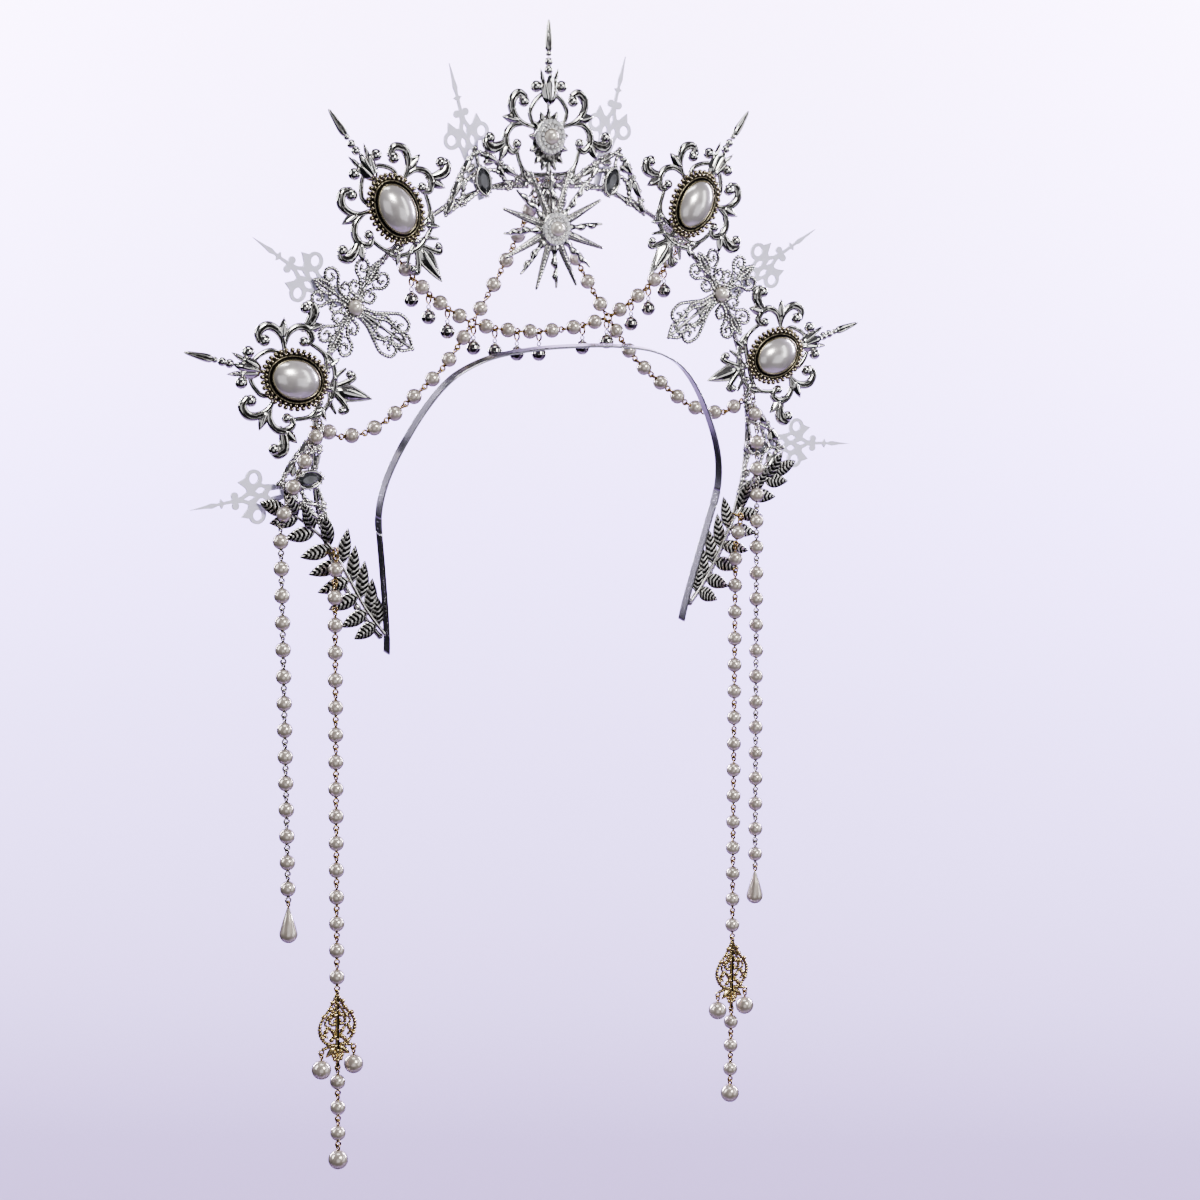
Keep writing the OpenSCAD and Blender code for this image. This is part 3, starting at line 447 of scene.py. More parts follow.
# filigree stamped in brass and gold plated, brown in its hollows
GILT = metal("gold_plated_stamped_filigree", "#B09C6C", "#17110A", 0.16, 0.42, 0.56, 0.9, 0.5, 0.05)
# an even grey with long soft stains: cold-rolled spring steel, polished and lacquered
STEEL = metal("polished_spring_steel_strip", "#96959A", "#848388", 0.2, 0.24, 0.5, 14.0, 4.0, 0.004,
              worn=0.75)
# small bright balls of nickel-plated brass; the black in their slots is painted shade for the hollow
# inside
BELL = metal("nickel_plated_brass_bell", "#A8A5A2", "#141211", 0.12, 0.4, 0.4)

# %% [markdown]
# Imitation pearls are glass beads dipped in a lacquer of fine pearl flakes. Light goes a little
# way into the lacquer and comes back softly, under a clear glossy skin. Rhinestones are glass cut
# in flat faces with foil behind, and the clock hands are steel with a matt pale paint.
# %% Pearl, stones and paint


def pearl_lacquer(name, light, deep, painted_rim_shade, streak):
    """Pearl lacquer on glass: clouds of two pale colours with painted shade that darkens them towards
    the rim, where the surface turns away from the camera, and a clear coat that is thinnest there."""
    material, tree = start(name)
    flakes = clouds(tree, streak, Detail=4.0, Distortion=0.6)
    # painted shade: the colour is mixed towards the dark rim colour where the surface turns away from
    # the camera, and that colour also tints the reflections
    facing = add(tree, "ShaderNodeLayerWeight", {"Blend": 0.5}).outputs["Facing"]
    edge = rescale(tree, facing, (0.25, 0.8), kind="SMOOTHSTEP")
    shaded = add(tree, "ShaderNodeMix", {0: edge, 6: ramp(tree, flakes, (0.35, deep), (0.65, light)),
                                         7: linear(painted_rim_shade)}, data_type="RGBA").outputs[2]
    coat(tree, {"Base Color": shaded, "Roughness": 0.24, "IOR": 1.5, "Specular IOR Level": 0.3,
                "Specular Tint": linear(painted_rim_shade), "Metallic": 0.6, "Coat Roughness": 0.13,
                "Coat IOR": 2.1, "Coat Weight": rescale(tree, edge, (0.0, 1.0), (1.0, 0.15)),
                "Normal": bumps(tree, flakes, 0.03, 0.3)})
    return material


def cut_glass(name, kind, size, pale, deep, foil, rough):
    """Clear skin over glass coloured by the texture kind. foil is how much it mirrors."""
    material, tree = start(name)
    coat(tree, {"Base Color": ramp(tree, clouds(tree, size, kind), pale, deep), "Metallic": foil,
                "Roughness": rough, "IOR": 1.55, "Coat Weight": 1.0, "Coat Roughness": 0.02})
    return material


# warm grey pearls of the strings, paler ones in the settings, cool and large-clouded domes; the
# third colour of each is the painted shade at its rim
PEARL = pearl_lacquer("imitation_pearl_lacquer_on_glass", "#CBBFB4", "#B6AA9F", "#5A524B", 3.0)
IVORY_PEARL = pearl_lacquer("ivory_pearl_lacquer_on_glass", "#EDE6DA", "#DAD1C5", "#8F877D", 3.0)
DOME_PEARL = pearl_lacquer("grey_pearl_lacquer_on_dome", "#D2CDCD", "#B8B3B4", "#8A8585", 9.0)
# foil behind clear glass: every flat face mirrors one patch of the room
STONE = cut_glass("foil_backed_rhinestone_glass", "ShaderNodeTexVoronoi", 0.9, (0.1, "#FFFFFF"),
                  (0.8, "#CACACE"), 0.5, 0.1)
# smoky glass over dull foil in the long stones of the links: dark, with soft reflections
SMOKE = cut_glass("smoke_grey_cut_glass", "ShaderNodeTexNoise", 4.0, (0.3, "#484950"),
                  (0.7, "#191A1E"), 0.35, 0.06)
# matt paint with a faint orange-peel skin, so it has no clear reflection
PAINT, tree = start("matt_lavender_grey_paint_on_steel")
peel = clouds(tree, 0.8, Detail=3.0)
coat(tree, {"Base Color": ramp(tree, peel, (0.3, "#D6D2EE"), (0.7, "#E0DCF5")), "Roughness": 0.62,
            "Normal": bumps(tree, peel, 0.02, 0.5)})
print(len(bpy.data.materials), "materials")

# %% [markdown]
# The clock hands are flat and sharp-edged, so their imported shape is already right. They keep it
# and only get their finish.
# %% Finish for the pieces that stay
for i in range(1, 7):
    mesh = frame["nodes"][f"hand_{i}"].data
    mesh.materials.clear()
    mesh.materials.append(PAINT)
print("six hands kept")

# %% [markdown]
# The hairband is a strip of spring steel with rounded edges, bent to a smooth curve that leans
# forward. Near each end it has two small holes. The strip runs between them, and each hole sits
# in a short block of its own: a ring of rows that goes from the block's outline to the hole.
# %% Hairband
BAND_W, BAND_T, BAND_EDGE, BAND_SUPPORT = 5.0, 1.0, 0.3, 0.1
LEAN, BAND_FOOT = math.radians(10.8), 89.0
HOLE_R, HOLE_HEIGHTS, BAND_ROW = 0.65, (60.0, 56.5), 1.6
BAND_HALF = [[22, 47.1], [44, 44.3], [60, 38.4], [70, 30.8], [79, 19.8], [86.4, 7.6], [91.3, -2],
             [95, -12], [96.8, -22], [96.6, -31], [94.8, -40], [91.8, -55], [88.6, -72],
             [86.1, -87], [85.4, -94]]

band_points = np.array([[-x, y] for x, y in BAND_HALF[::-1]] + [[0, 47.7]] + BAND_HALF)
band_curve = smooth_curve((band_points + [0, BAND_FOOT]) / [1, math.cos(LEAN)], 8)
band_step = np.gradient(band_curve, axis=0)
band_step = band_step / np.linalg.norm(band_step, axis=1, keepdims=True)
band_along = lengths(band_curve)


def on_band(along, deep, wide):
    """Point of the band: deep below its outer face and wide from its middle line, then leant."""
    x, y, tx, ty = (np.interp(along, band_along, v) for v in (*band_curve.T, *band_step.T))
    x, y = x + ty * deep, y - tx * deep
    return np.stack([x, y * math.cos(LEAN) - wide * math.sin(LEAN) - BAND_FOOT,
                     y * math.sin(LEAN) + wide * math.cos(LEAN)], -1)


def band_section():
    """Rectangle with rounded corners; a support point beside each corner keeps the faces flat."""
    rows = []
    for k, (su, sw) in enumerate(((1, 1), (-1, 1), (-1, -1), (1, -1))):
        middle = np.array([su * (BAND_T / 2 - BAND_EDGE), sw * (BAND_W / 2 - BAND_EDGE)])
        for degrees, slide in ((0, -BAND_SUPPORT), (0, 0), (45, 0), (90, 0), (90, BAND_SUPPORT)):
            c, s = math.cos(math.radians(90 * k + degrees)), math.sin(math.radians(90 * k + degrees))
            rows.append(middle + BAND_EDGE * np.array([c, s]) + slide * np.array([-s, c]))
    return np.array(rows)


def hole_block(middle, half):
    """Block 2 half long with a hole: each row goes out and back between its edge and the hole."""
    corner = math.atan2(BAND_W / 2, half)
    corners = [corner, np.pi - corner, np.pi + corner, 2 * np.pi - corner]
    q = np.sort(np.concatenate([around(36), corners]))
    way = np.stack([np.cos(q), np.sin(q)], 1)
    edge = way / np.maximum(np.abs(way[:, :1]) / half, np.abs(way[:, 1:]) / (BAND_W / 2))
    hole = way * HOLE_R
    return np.stack([on_band(middle + p[:, 0], deep, p[:, 1]) for p, deep in
                     ((edge, 0.0), (hole, 0.0), (hole, BAND_T), (edge, BAND_T))], 1)


mid = len(band_along) // 2
hole_at = np.interp(HOLE_HEIGHTS, band_curve[:mid:-1, 1], band_along[:mid:-1])
half = (hole_at[1] - hole_at[0]) / 2
length = band_along[-1]
section = band_section()
s = Skins()
for a, b in ((0, length - hole_at[1] - half), (length - hole_at[0] + half, hole_at[0] - half),
             (hole_at[1] + half, length)):
    along = np.linspace(a, b, max(2, round((b - a) / BAND_ROW)))[:, None]
    s.add(on_band(along + 0 * section[:, 0], BAND_T / 2 - section[:, 0], 0 * along + section[:, 1]))
for middle in (*(length - hole_at), *hole_at):
    s.add(hole_block(middle, half), ring=True, smooth=False)
make("hairband_strip", s, [STEEL], "band_steel", ["hairband"])

# %% [markdown]
# Layers, counted from the arch wire's middle towards the front, in millimetres. The filigree
# lies on the wire, the castings lie on the filigree, and the bezels and domes on the castings.
# %% Layers
LAYER = 1.5
CAST_BACK = LAYER + 1.95
CAST_FRONT = CAST_BACK + 3.05
MEDALLIONS = {1: (-75.1, 141.2), 2: (-37.0, 139.2), 3: (0.0, 141.5), 4: (37.0, 139.4),
              5: (75.1, 139.8)}
CROSSES = {"left": (-57.0, 123.2), "right": (57.0, 123.2)}
LINKS, LINK_R = {1: -94.3, 2: -15.8, 3: 17.0, 4: 94.3}, 128.0
STAR_R, STAR_FRONT = 101.0, 9.0

# %% [markdown]
# The arch is a thick wire with small swellings, where round beads were soldered on. It is one
# tube round an arc of a circle, and its radius swells wherever a bead sits, with a low collar
# on both sides of the bead.
# %% Arch wire
HALF_ANGLE, NODE_STEP, WIRE_RADIUS, NODE_RADIUS = 134.5, 10.0, 1.35, 1.85
COLLAR, COLLAR_AT, COLLAR_W = 0.22, 2.6, 0.55
angle = np.linspace(-HALF_ANGLE, HALF_ANGLE, 1400)
off = np.abs((angle - 5 + NODE_STEP / 2) % NODE_STEP - NODE_STEP / 2) * np.radians(1) * HALO_R
radius = WIRE_RADIUS + (NODE_RADIUS - WIRE_RADIUS) * np.exp(-(off**4))
radius = radius + COLLAR * np.exp(-(((off - COLLAR_AT) / COLLAR_W) ** 2))
end = (HALF_ANGLE - np.abs(angle)) * np.radians(1) * HALO_R
radius = np.maximum(radius * np.sqrt(np.clip(end, 0.02, 1)),
                    np.sqrt(np.clip(1.5**2 - (end - 1.5) ** 2, 0, None)))[:, None]
q = around(14)
a = np.radians(angle)[:, None]
reach = HALO_R + radius * np.cos(q)
s = Skins()
s.add(np.stack([reach * np.sin(a), reach * np.cos(a), radius * np.sin(q)], -1),
      np.clip(0.5 + 0.45 * np.sin(q) - 0.4 * np.exp(-(((off - 1.5) / 0.5) ** 2))[:, None], 0, 1))
make("arch_wire_dressed", s, [WIRE], "wire_metal", ["arch_wire"])

# %% [markdown]
# Each casting is a baroque cartouche: a spear and collar outward, C-scrolls and S-scrolls with
# ball ends at the sides, a strapwork frame below, and a spade inward. All scrolls have a groove
# along the front. The control points are those of the solid it stands for.
# %% Castings
PLATE_W, PLATE_L, GROOVE = 8.6, 12.1, 0.3


def casting(prongs):
    """One openwork casting in its flat frame, with pointed prongs where it carries a rosette."""
    z = CAST_BACK + 1.5
    s = Skins()
    fine = (9, 14)
    # scrolls, their side leaves and the balls in their curls
    draw(s, z, [
        [[6.5, 5.8, 0.9], [15, 8.6, 1.4], [19.4, 13, 1.95], [20.3, 18.4, 2.25], [16.8, 22, 2.1],
         [13.2, 20.6, 1.7]],
        [[14.2, 7.8, 1.1], [19.5, 7.2, 1.6], [23.2, 3.4, 1.85], [23.4, -1.6, 1.95], [20, -5, 1.75],
         [17, -3.4, 1.4]],
        [[1.6, 23, 1.1], [7.4, 18.4, 1.25], [10.3, 12.6, 1.2], [7, 4.5, 0.9]],
        [[1.4, -22, 1.3], [4.4, -27.2, 1.6], [7.4, -30.6, 1.5], [9.4, -28.8, 1.1]],
        [[2.2, -19.6, 0.9], [6.6, -21.8, 1.2], [10.2, -25.2, 0.7]]], [
        [15.6, 9.6, 26, 11.2, 5, 0.3, 2], [22.6, -0.8, 27.4, -9.4, 5, 0.3, 2],
        [0.7, 16.6, 4, 29.6, 5.2, 1, 2.6], [2.6, 24.6, 5, 33.4, 2.6, 0.6, 1.8],
        [8.6, -16.2, 14.8, -21.6, 3.4, 0.2, 1.6]], [
        [13.7, 18.3, 2.9], [17.5, -1.3, 2.5], [32.4, 1.5, 2.8], [8.4, -28, 2], [11.2, -15.6, 1.8],
        [5.2, -20.9, 1.5]], lift=0.1, flat=0.85, mesh=fine, groove=GROOVE)
    draw(s, z, [[[22.6, 0.5, 1.3], [27, -2.2, 2.4], [31.4, -3, 3], [34, -0.8, 2.6], [33.4, 1.4, 2]]],
         balls=[[7, 25, 2.9]], lift=0.3, flat=1.0, mesh=fine, height=0.8, groove=GROOVE)
    if prongs:
        for b in np.radians([24, 52, 80, 108, 136, 160]):
            x, y = math.sin(b), math.cos(b)
            draw(s, z, leaves=[[6.6 * x, 9.4 * y, 11.6 * x, 15 * y, 3.4, 0.3, 2]])
        draw(s, z, leaves=[[0, 9.4, 0, 15.4, 3.2, 0.3, 2]], pair=False)
    # strapwork frame and stems
    draw(s, z, [[[-17.6, -4.2, 1.1], [-14.8, -12, 1.2], [-10, -15.2, 1.2], [0, -15.7, 1.4],
                 [10, -15.2, 1.2], [14.8, -12, 1.2], [17.6, -4.2, 1.1]],
                [[-15.1, -11.4, 1.1], [-12, -18, 1.2], [0, -22, 1.4], [12, -18, 1.2],
                 [15.1, -11.4, 1.1]]], pair=False, groove=GROOVE)
    draw(s, z, [[[0, 10, 0.9], [0, 19, 0.9]]], pair=False, height=0.6)
    draw(s, z, [[[0, -10, 1.4], [0, -19, 1.4]]], pair=False, height=0.45)
    # plate behind the dome, an oval disc 1.2 thick
    s.add(layered(circle(28) * [PLATE_W, PLATE_L],
                  [[0.3, -0.6], [0.97, -0.6], [1, -0.5], [1, 0.5], [0.97, 0.6], [0.3, 0.6]])
          + [0, 0, z], 0.2)
    # collar with its middle leaf, three beads, and the spear with a groove along its front
    draw(s, z, [[[0, 41.4, 1.2], [0, 42.6, 1.85], [0, 45.4, 1.95], [0, 50, 1.45], [0, 54, 0.9],
                 [0, 55.2, 0.5]]], [[0, 31.4, 0, 16, 4.6, 1.6, 2.4]],
         [[0, 32.6, 2.2], [0, 36.4, 2.1], [0, 40.2, 1.5]], pair=False, flat=1.0, mesh=fine,
         height=0.85, groove=0.35, sides=20)
    # spade: a neck, a bead and a leaf with raised edges that ends in a long point
    draw(s, z, [[[0, -15.2, 1.6], [0, -18.4, 1.9], [0, -21, 1.5], [0, -24, 1.8]]],
         [[0, -21, 0, -42.4, 7.4, 0.1, 2.4]], [[0, -18.3, 1.6]], pair=False, lift=1.0, flat=1.0,
         mesh=fine, height=0.6)
    draw(s, z + 0.4, [[[0.6, -23, 0.6], [3.6, -28, 0.7], [1.9, -36, 0.6], [0.1, -41.8, 0.35]]])
    # short pads that rest on the filigree
    s.both(*ball([7.25, -17.3, (LAYER + z) / 2 + 0.1], 1.6, 1.1))
    return s


for i, (angle, radius) in MEDALLIONS.items():
    make(f"casting_{i}", casting(i == 3), [CAST], "cast_silver", [f"medallion_{i}"], angle, radius)

# %% [markdown]
# A bezel is a stamped brass cup whose rim stands round the pearl, with a row of round beads on
# short stems outside it and smaller beads between. The rim is a profile carried round an oval,
# and each row of beads sits on a larger oval.
# %% Bezels and pearl domes
DOME_L, DOME_W, DOME_H, TEETH = 25.0, 18.0, 5.8, 34
# profile of the rim: outward from the pearl's edge, forward, worn
RIM = np.array([[-0.7, 2.85, 0.8], [-0.55, 3.1, 1], [-0.2, 3, 0.7], [0.3, 2.3, 0.3], [0.6, 1.9, 0.05],
                [0.9, 1.9, 0.05], [1.2, 2.3, 0.6], [1.6, 2.3, 0.6], [1.9, 1.8, 0.2], [2.9, 1.6, 0.3],
                [3.3, 1.1, 0.4], [3.3, 0.3, 0.3], [3, 0, 0.2], [-1.6, 0, 0.1], [-1.6, 0.7, 0.1],
                [0.1, 0.7, 0.1], [0.1, 1.6, 0.2]])


def bezel():
    """Rim: RIM carried round the oval a sin q, b cos q. Two rows of beads on wider ovals."""
    s = Skins()
    z = CAST_FRONT - 0.6
    way = circle(72)[:, ::-1]
    out = way * [DOME_L, DOME_W]
    out /= np.linalg.norm(out, axis=1, keepdims=True)
    oval = way * [DOME_W / 2, DOME_L / 2]
    s.add(np.stack([np.concatenate([oval + out * w, np.full((72, 1), z + h)], 1)
                    for w, h, _ in RIM], 1), RIM[:, 2], ring=True)
    b = around(TEETH)
    for x, y in zip((DOME_W / 2 + 4.1) * np.sin(b), (DOME_L / 2 + 4.1) * np.cos(b)):
        s.add(*bar([[0.8 * x, 0.84 * y, 0.6], [x, y, 0.6]], z + 0.8, k=2, sides=8))
        s.add(*ball([x, y, z + 1.0], 1.22, rows=7, sides=10))
    b = b + np.pi / TEETH
    for x, y in zip((DOME_W / 2 + 2.6) * np.sin(b), (DOME_L / 2 + 2.6) * np.cos(b)):
        s.add(*ball([x, y, z + 1.8], 0.95, rows=7, sides=9))
    return s


def dome():
    """Half ellipsoid: rows at latitude f are cos f wide and DOME_H sin f high, closed below."""
    f = np.radians([0, 4, 10, 18, 27, 37, 48, 59, 70, 80, 87])
    s = Skins()
    s.add(layered(circle(64) * [DOME_W / 2, DOME_L / 2],
                  np.stack([np.cos(f), CAST_FRONT + 0.25 + DOME_H * np.sin(f)], 1)), 1.0)
    return s


for i in (1, 2, 4, 5):
    make(f"beaded_bezel_{i}", bezel(), [BRASS], "antique_brass", [f"bezel_{i}"], *MEDALLIONS[i])
    make(f"pearl_dome_{i}", dome(), [DOME_PEARL], "dome_pearl", [f"dome_{i}"], *MEDALLIONS[i])

# %% [markdown]
# The top casting and the star each carry a round setting: two rings of small cut stones, each
# between two rings of grains, with a pearl in the middle. A cut stone has a flat top, a slanting
# crown and a pointed back, and its faces stay flat, so each one mirrors one patch of the room.
# %% Round settings with rhinestones
ROUND_PEARL_R = 3.6
# rows of a brilliant: culet, girdle, crown edge and table, each a regular polygon
BRILLIANT = [[0.05, -0.6], [1, -0.08], [1, 0.08], [0.6, 0.5]]
# profile of a setting: inward from its edge, forward, worn
SETTING = np.array([[4.9, 0, 0.1], [0.2, 0, 0.4], [0, 0.3, 0.6], [0, 1.4, 0.8], [0.2, 1.6, 1],
                    [2.4, 1.5, 0.5], [2.5, 1.8, 0.9], [2.7, 1.8, 0.9], [2.8, 1.5, 0.5],
                    [4.7, 1.5, 0.5], [4.9, 1.2, 0.5]])


def round_setting(r, z):
    """Setting of outer radius r, its back at z, with two rings of stones and their grains."""
    s = Skins()
    s.add(layered(circle(60), SETTING[:, :2] * [-1, 1] + [r, z]), SETTING[:, 2:], ring=True)
    s.add(layered(circle(60) * (r - 3.4), [[0.2, z], [1, z], [1, z + 0.9], [0.2, z + 0.9]]), 0.2)
    for reach, n, size in ((r - 1.3, 19, 1.15), (r - 3.7, 13, 0.95)):
        for x, y in reach * circle(n):
            s.add(size * layered(circle(8), BRILLIANT) + [x, y, z + 1.9], 1.0, finish=1, smooth=False)
        for w in (reach + 0.85, reach - 0.8):
            wreath(s.add, 0, 0, z + 1.8, w, n, 0.42, np.pi / 2 - np.pi / n, 1.0, (5, 8))
    return s


def round_pearl(z):
    """Ball whose poles are at its front and back."""
    s = Skins()
    s.add(ball([0, 0, z], ROUND_PEARL_R, rows=21, sides=36)[0], 1.0)
    return s


# setting: outer radius, its back, how far outward its middle is
SETTINGS = {"rosette": (8.4, CAST_FRONT - 0.8, MEDALLIONS[3][1] + 2),
            "star_ring": (7.8, STAR_FRONT + 1.95, STAR_R)}
for node, (r, z, y) in SETTINGS.items():
    make(f"{node}_set", round_setting(r, z), [FILIGREE, STONE], "rhinestone_setting", [node], 0.0, y)
for name, (r, z, y) in zip(("rosette", "star"), SETTINGS.values()):
    make(f"{name}_round_pearl", round_pearl(z + 2.2), [IVORY_PEARL], "round_pearl", [f"{name}_pearl"],
         0.0, y)

# %% [markdown]
# A link is a small triangle of soldered wire, paved with grain, round a long smoky stone with
# pointed ends. The stone's setting is a wall round the stone's outline.
# %% Links and their stones
# profile of the stone's setting: width, length, forward, worn
CUP = np.array([[6.5, 11.7, 0.9, 0.1], [6.5, 11.7, 1.9, 0.5], [7, 12.4, 2.8, 1], [8.6, 14.4, 2.7, 0.9],
                [9.2, 15.2, 1.8, 0.5], [9.2, 15.2, 0, 0.3], [2, 4, 0, 0.1], [2, 4, 0.9, 0.1]])
# rows of the long stone: width, length, forward
LONG_STONE = [[4.6, 9.2, 0], [6.2, 11.4, 0.7], [6.2, 11.4, 1], [3.6, 7.4, 1.8]]


def pointed_oval(n):
    """Outline with two points, 1 wide and 1 long: x is half of cos(f)^1.3 at y = half of sin f."""
    c, s = circle(n).T
    return np.stack([np.sign(c) * np.abs(c) ** 1.3, s], -1) / 2


def link():
    """One link with its setting, in its flat frame."""
    z = LAYER + 1.0
    s = Skins()
    grain = dict(grain=0.42, pitch=2.3, k=14, sides=10)
    draw(s, z, [
        [[-0.5, 14.4, 1.3], [6.5, 9.4, 1.8], [14, 2.2, 1.8], [23.4, -8.2, 1.1]],
        [[3.2, 4.4, 1.1], [9.2, 1.8, 1.4], [14.4, -6, 1.4], [23.4, -9.6, 1]],
        [[2.8, -4, 1.1], [13, -7.2, 1.3]]], [
        [2.2, 8.4, 8.8, 6.4, 3.6, 0.6, 2], [9.4, 5.4, 12.2, -2.6, 3.6, 0.6, 2],
        [3.4, 12.4, 10.8, 5.4, 4.4, 1, 2.2], [11.4, 4.6, 19, -3.8, 4.4, 1, 2.2],
        [23.2, -9.4, 16.6, -2.8, 3.6, 0.8, 2]], [
        [0, 15.6, 1.4], [1.9, 13.2, 1.3], [4.4, 12.2, 1.1], [8.8, 8.8, 1.2], [12.2, 5.6, 1.2],
        [17.2, 0.4, 1.2], [20.4, -3.4, 1.1], [17.4, -5.4, 1.2]], lift=0.6, **grain)
    draw(s, z, [[[0, 6.2, 1.1], [0, 14, 1.1]]], pair=False, **grain)
    s.both(*ball([13.2, -6, z + 0.9], 1.2, 0.8, 7, 10))
    wreath(s.both, 13.2, -6, z + 0.4, 1.9, 6, 1.0, np.pi / 6, mesh=(6, 9))
    s.add(layered(pointed_oval(40), CUP[:, :3]) + [0, 0, LAYER], CUP[:, 3:], ring=True)
    for x, y in pointed_oval(14) * [9.4, 15.4]:
        s.add(*ball([x, y, LAYER + 2.2], 0.6, 0.9, 5, 8))
    return s


for i, angle in LINKS.items():
    make(f"link_{i}_wire", link(), [LINK_WIRE], "link_silver", [f"link_{i}"], angle, LINK_R)
    s = Skins()
    s.add(layered(pointed_oval(16), LONG_STONE) + [0, 0, LAYER + 1.05], 1.0, smooth=False)
    make(f"link_{i}_cut_stone", s, [SMOKE], "crystal", [f"link_stone_{i}"], angle, LINK_R)

# %% [markdown]
# The crosses are filigree: fine rope wire, made by winding two wires together, bent to scrolls
# and soldered side by side, with a grained petal rosette round a pearl.
# %% Filigree crosses
ROPE = dict(height=1.1, k=22, sides=10, twist=0.22, pitch=1.5)
FINE = 0.92


def cross_piece():
    """One cross in its flat frame: three short arms with spiral scrolls and a long arm inward."""
    z = LAYER + 0.85
    w = FINE
    s = Skins()
    for turn in (0, 90, -90):
        s.turn = about(2, -turn)
        draw(s, z, [
            [[1.4, 3.6, w], [1.9, 9, w], [4.4, 12.6, w], [8.2, 15, w], [9.2, 18.6, w],
             [6.8, 21.2, w], [3.9, 20, w], [3.7, 17.3, w], [5.8, 16.3, w], [6.8, 18, w * 0.9]],
            [[2.4, 5, w], [6.4, 6.2, w], [7, 9.6, w], [4.6, 10.4, w * 0.9], [4.4, 8.4, w * 0.8]],
            [[0.8, 13, w], [2.2, 17, w], [1.6, 21, w], [0.2, 24.2, w * 0.8]]], **ROPE)
        draw(s, z, [[[0, 4, w], [0, 13, w], [0, 23, w]]], balls=[
            [0, 9, 1.1], [0, 12.8, 1.3], [0, 23.4, 1], [2.9, 13.6, 0.9], [-2.9, 13.6, 0.9],
            [0, 18.6, 0.9]], pair=False, lift=0.5, **ROPE)
    s.turn = np.eye(3)
    draw(s, z, [
        [[2.2, -3, w], [3.4, -10, w], [7.4, -17.5, w], [9.9, -23, w], [8.8, -28.6, w],
         [5, -29.6, w], [3.4, -26.6, w], [5.2, -24.6, w], [6.6, -26.2, w * 0.9]],
        [[0.9, -4.5, w], [1.6, -12, w], [3.8, -18.6, w], [2.6, -29, w], [3.6, -32, w],
         [-0.25, -37, w * 0.8]],
        [[3, -11, w * 0.9], [5.4, -16, w], [4.6, -20.4, w], [2.2, -22.4, w]],
        [[1, -24, w], [3.2, -27.4, w], [1.2, -31, w]]],
        balls=[[4.6, -21.6, 1.1], [1.9, -24.6, 0.9], [6, -22.2, 0.8]], lift=0.5, **ROPE)
    draw(s, z, [[[-4.6, -15.2, w], [4.6, -15.2, w]], [[0, -5, w], [0, -35, w]]], pair=False, **ROPE)
    wreath(s.add, 0, 0, z + 0.5, 5.2, 8, 1.4, np.pi / 8, 0.7)
    wreath(s.add, 0, 0, z + 1.0, 4.6, 8, 0.75, np.pi / 8 + 0.39, 0.8, (5, 8))
    s.add(turned([[0.5, -0.85], [4.3, -0.85], [4.4, -0.6], [4.4, 0.1], [0.5, 0.2]], [0, 0, z],
                 [0, 0, 1], 28), 0.3)
    return s


for side, place_on_halo in CROSSES.items():
    make(f"cross_{side}_filigree", cross_piece(), [ROPE_WIRE], "filigree_silver", [f"cross_{side}"],
         *place_on_halo)
    make(f"cross_{side}_pearl", round_pearl(LAYER + 0.85 + 1.6), [IVORY_PEARL], "round_pearl",
         [f"cross_pearl_{side}"], *place_on_halo)

# %% [markdown]
# The star brooch has eight straight rays, which are flat bars edged with grain, and eight wavy
# ones between them that swell and shrink like a row of beads. They are drawn along +y and turned
# round the middle in steps of 45 degrees.
# %% Star brooch
RAY_LONG, RAY_SHORT = 30.0, 28.0
z = STAR_FRONT
s = Skins()
for i in range(8):
    s.turn = about(2, -26 - 45 * i)
    s.add(bar([[0, 5.5, 2.1], [0, 14, 2], [0, RAY_LONG - 0.9, 0.8]], z + 0.8, height=0.4)[0], 0.5)
    s.add(*bar([[0, 6, 0.9], [0, 14, 0.85], [0, RAY_LONG - 1, 0.5]], z + 1.4, grain=0.5, pitch=1.5,
               k=40, sides=9))
    s.turn = about(2, -3.5 - 45 * i)
    s.add(*bar([[0, 5, 1.2], [0, 9, 2], [0.2, 12.5, 1.1], [0.5, 15.8, 1.9], [-0.4, 18.8, 1],
                [0.4, 21.8, 1.7], [-0.2, 24.6, 0.9], [0, RAY_SHORT - 0.7, 0.6]], z + 0.8))
s.turn = np.eye(3)
foot = CAST_FRONT - 0.15 - STAR_FRONT
s.add(turned([[0.5, 0], [6.9, 0], [7, 0.2], [7, 1.4], [6.8, 1.6], [0.5, 1.6]], [0, 0, z],
             [0, 0, 1], 40), 0.4)
s.add(turned([[0.4, foot], [2.3, foot], [2.4, foot + 0.1], [2.4, 0.5], [0.4, 0.5]], [0, 5, z],
             [0, 0, 1], 16), 0.3)
make("star_rays", s, [LINK_WIRE], "star_silver", ["star"], 0.0, STAR_R)

# %% [markdown]
# The branches are small castings of leaves on a stem. Each leaf has a middle rib and slanting
# veins, rubbed bright on the black ground, which is what makes them look striped.
# %% Leaf branches
STEM = [[88, -84.2, 0.9], [92, -79.4, 0.9], [98, -71.6, 0.9], [103.4, -62.6, 0.9],
        [108.6, -53.6, 0.9], [116.4, -41.4, 0.9], [124.6, -33.2, 0.85], [134.4, -25.8, 0.7],
        [141.4, -22.4, 0.5]]
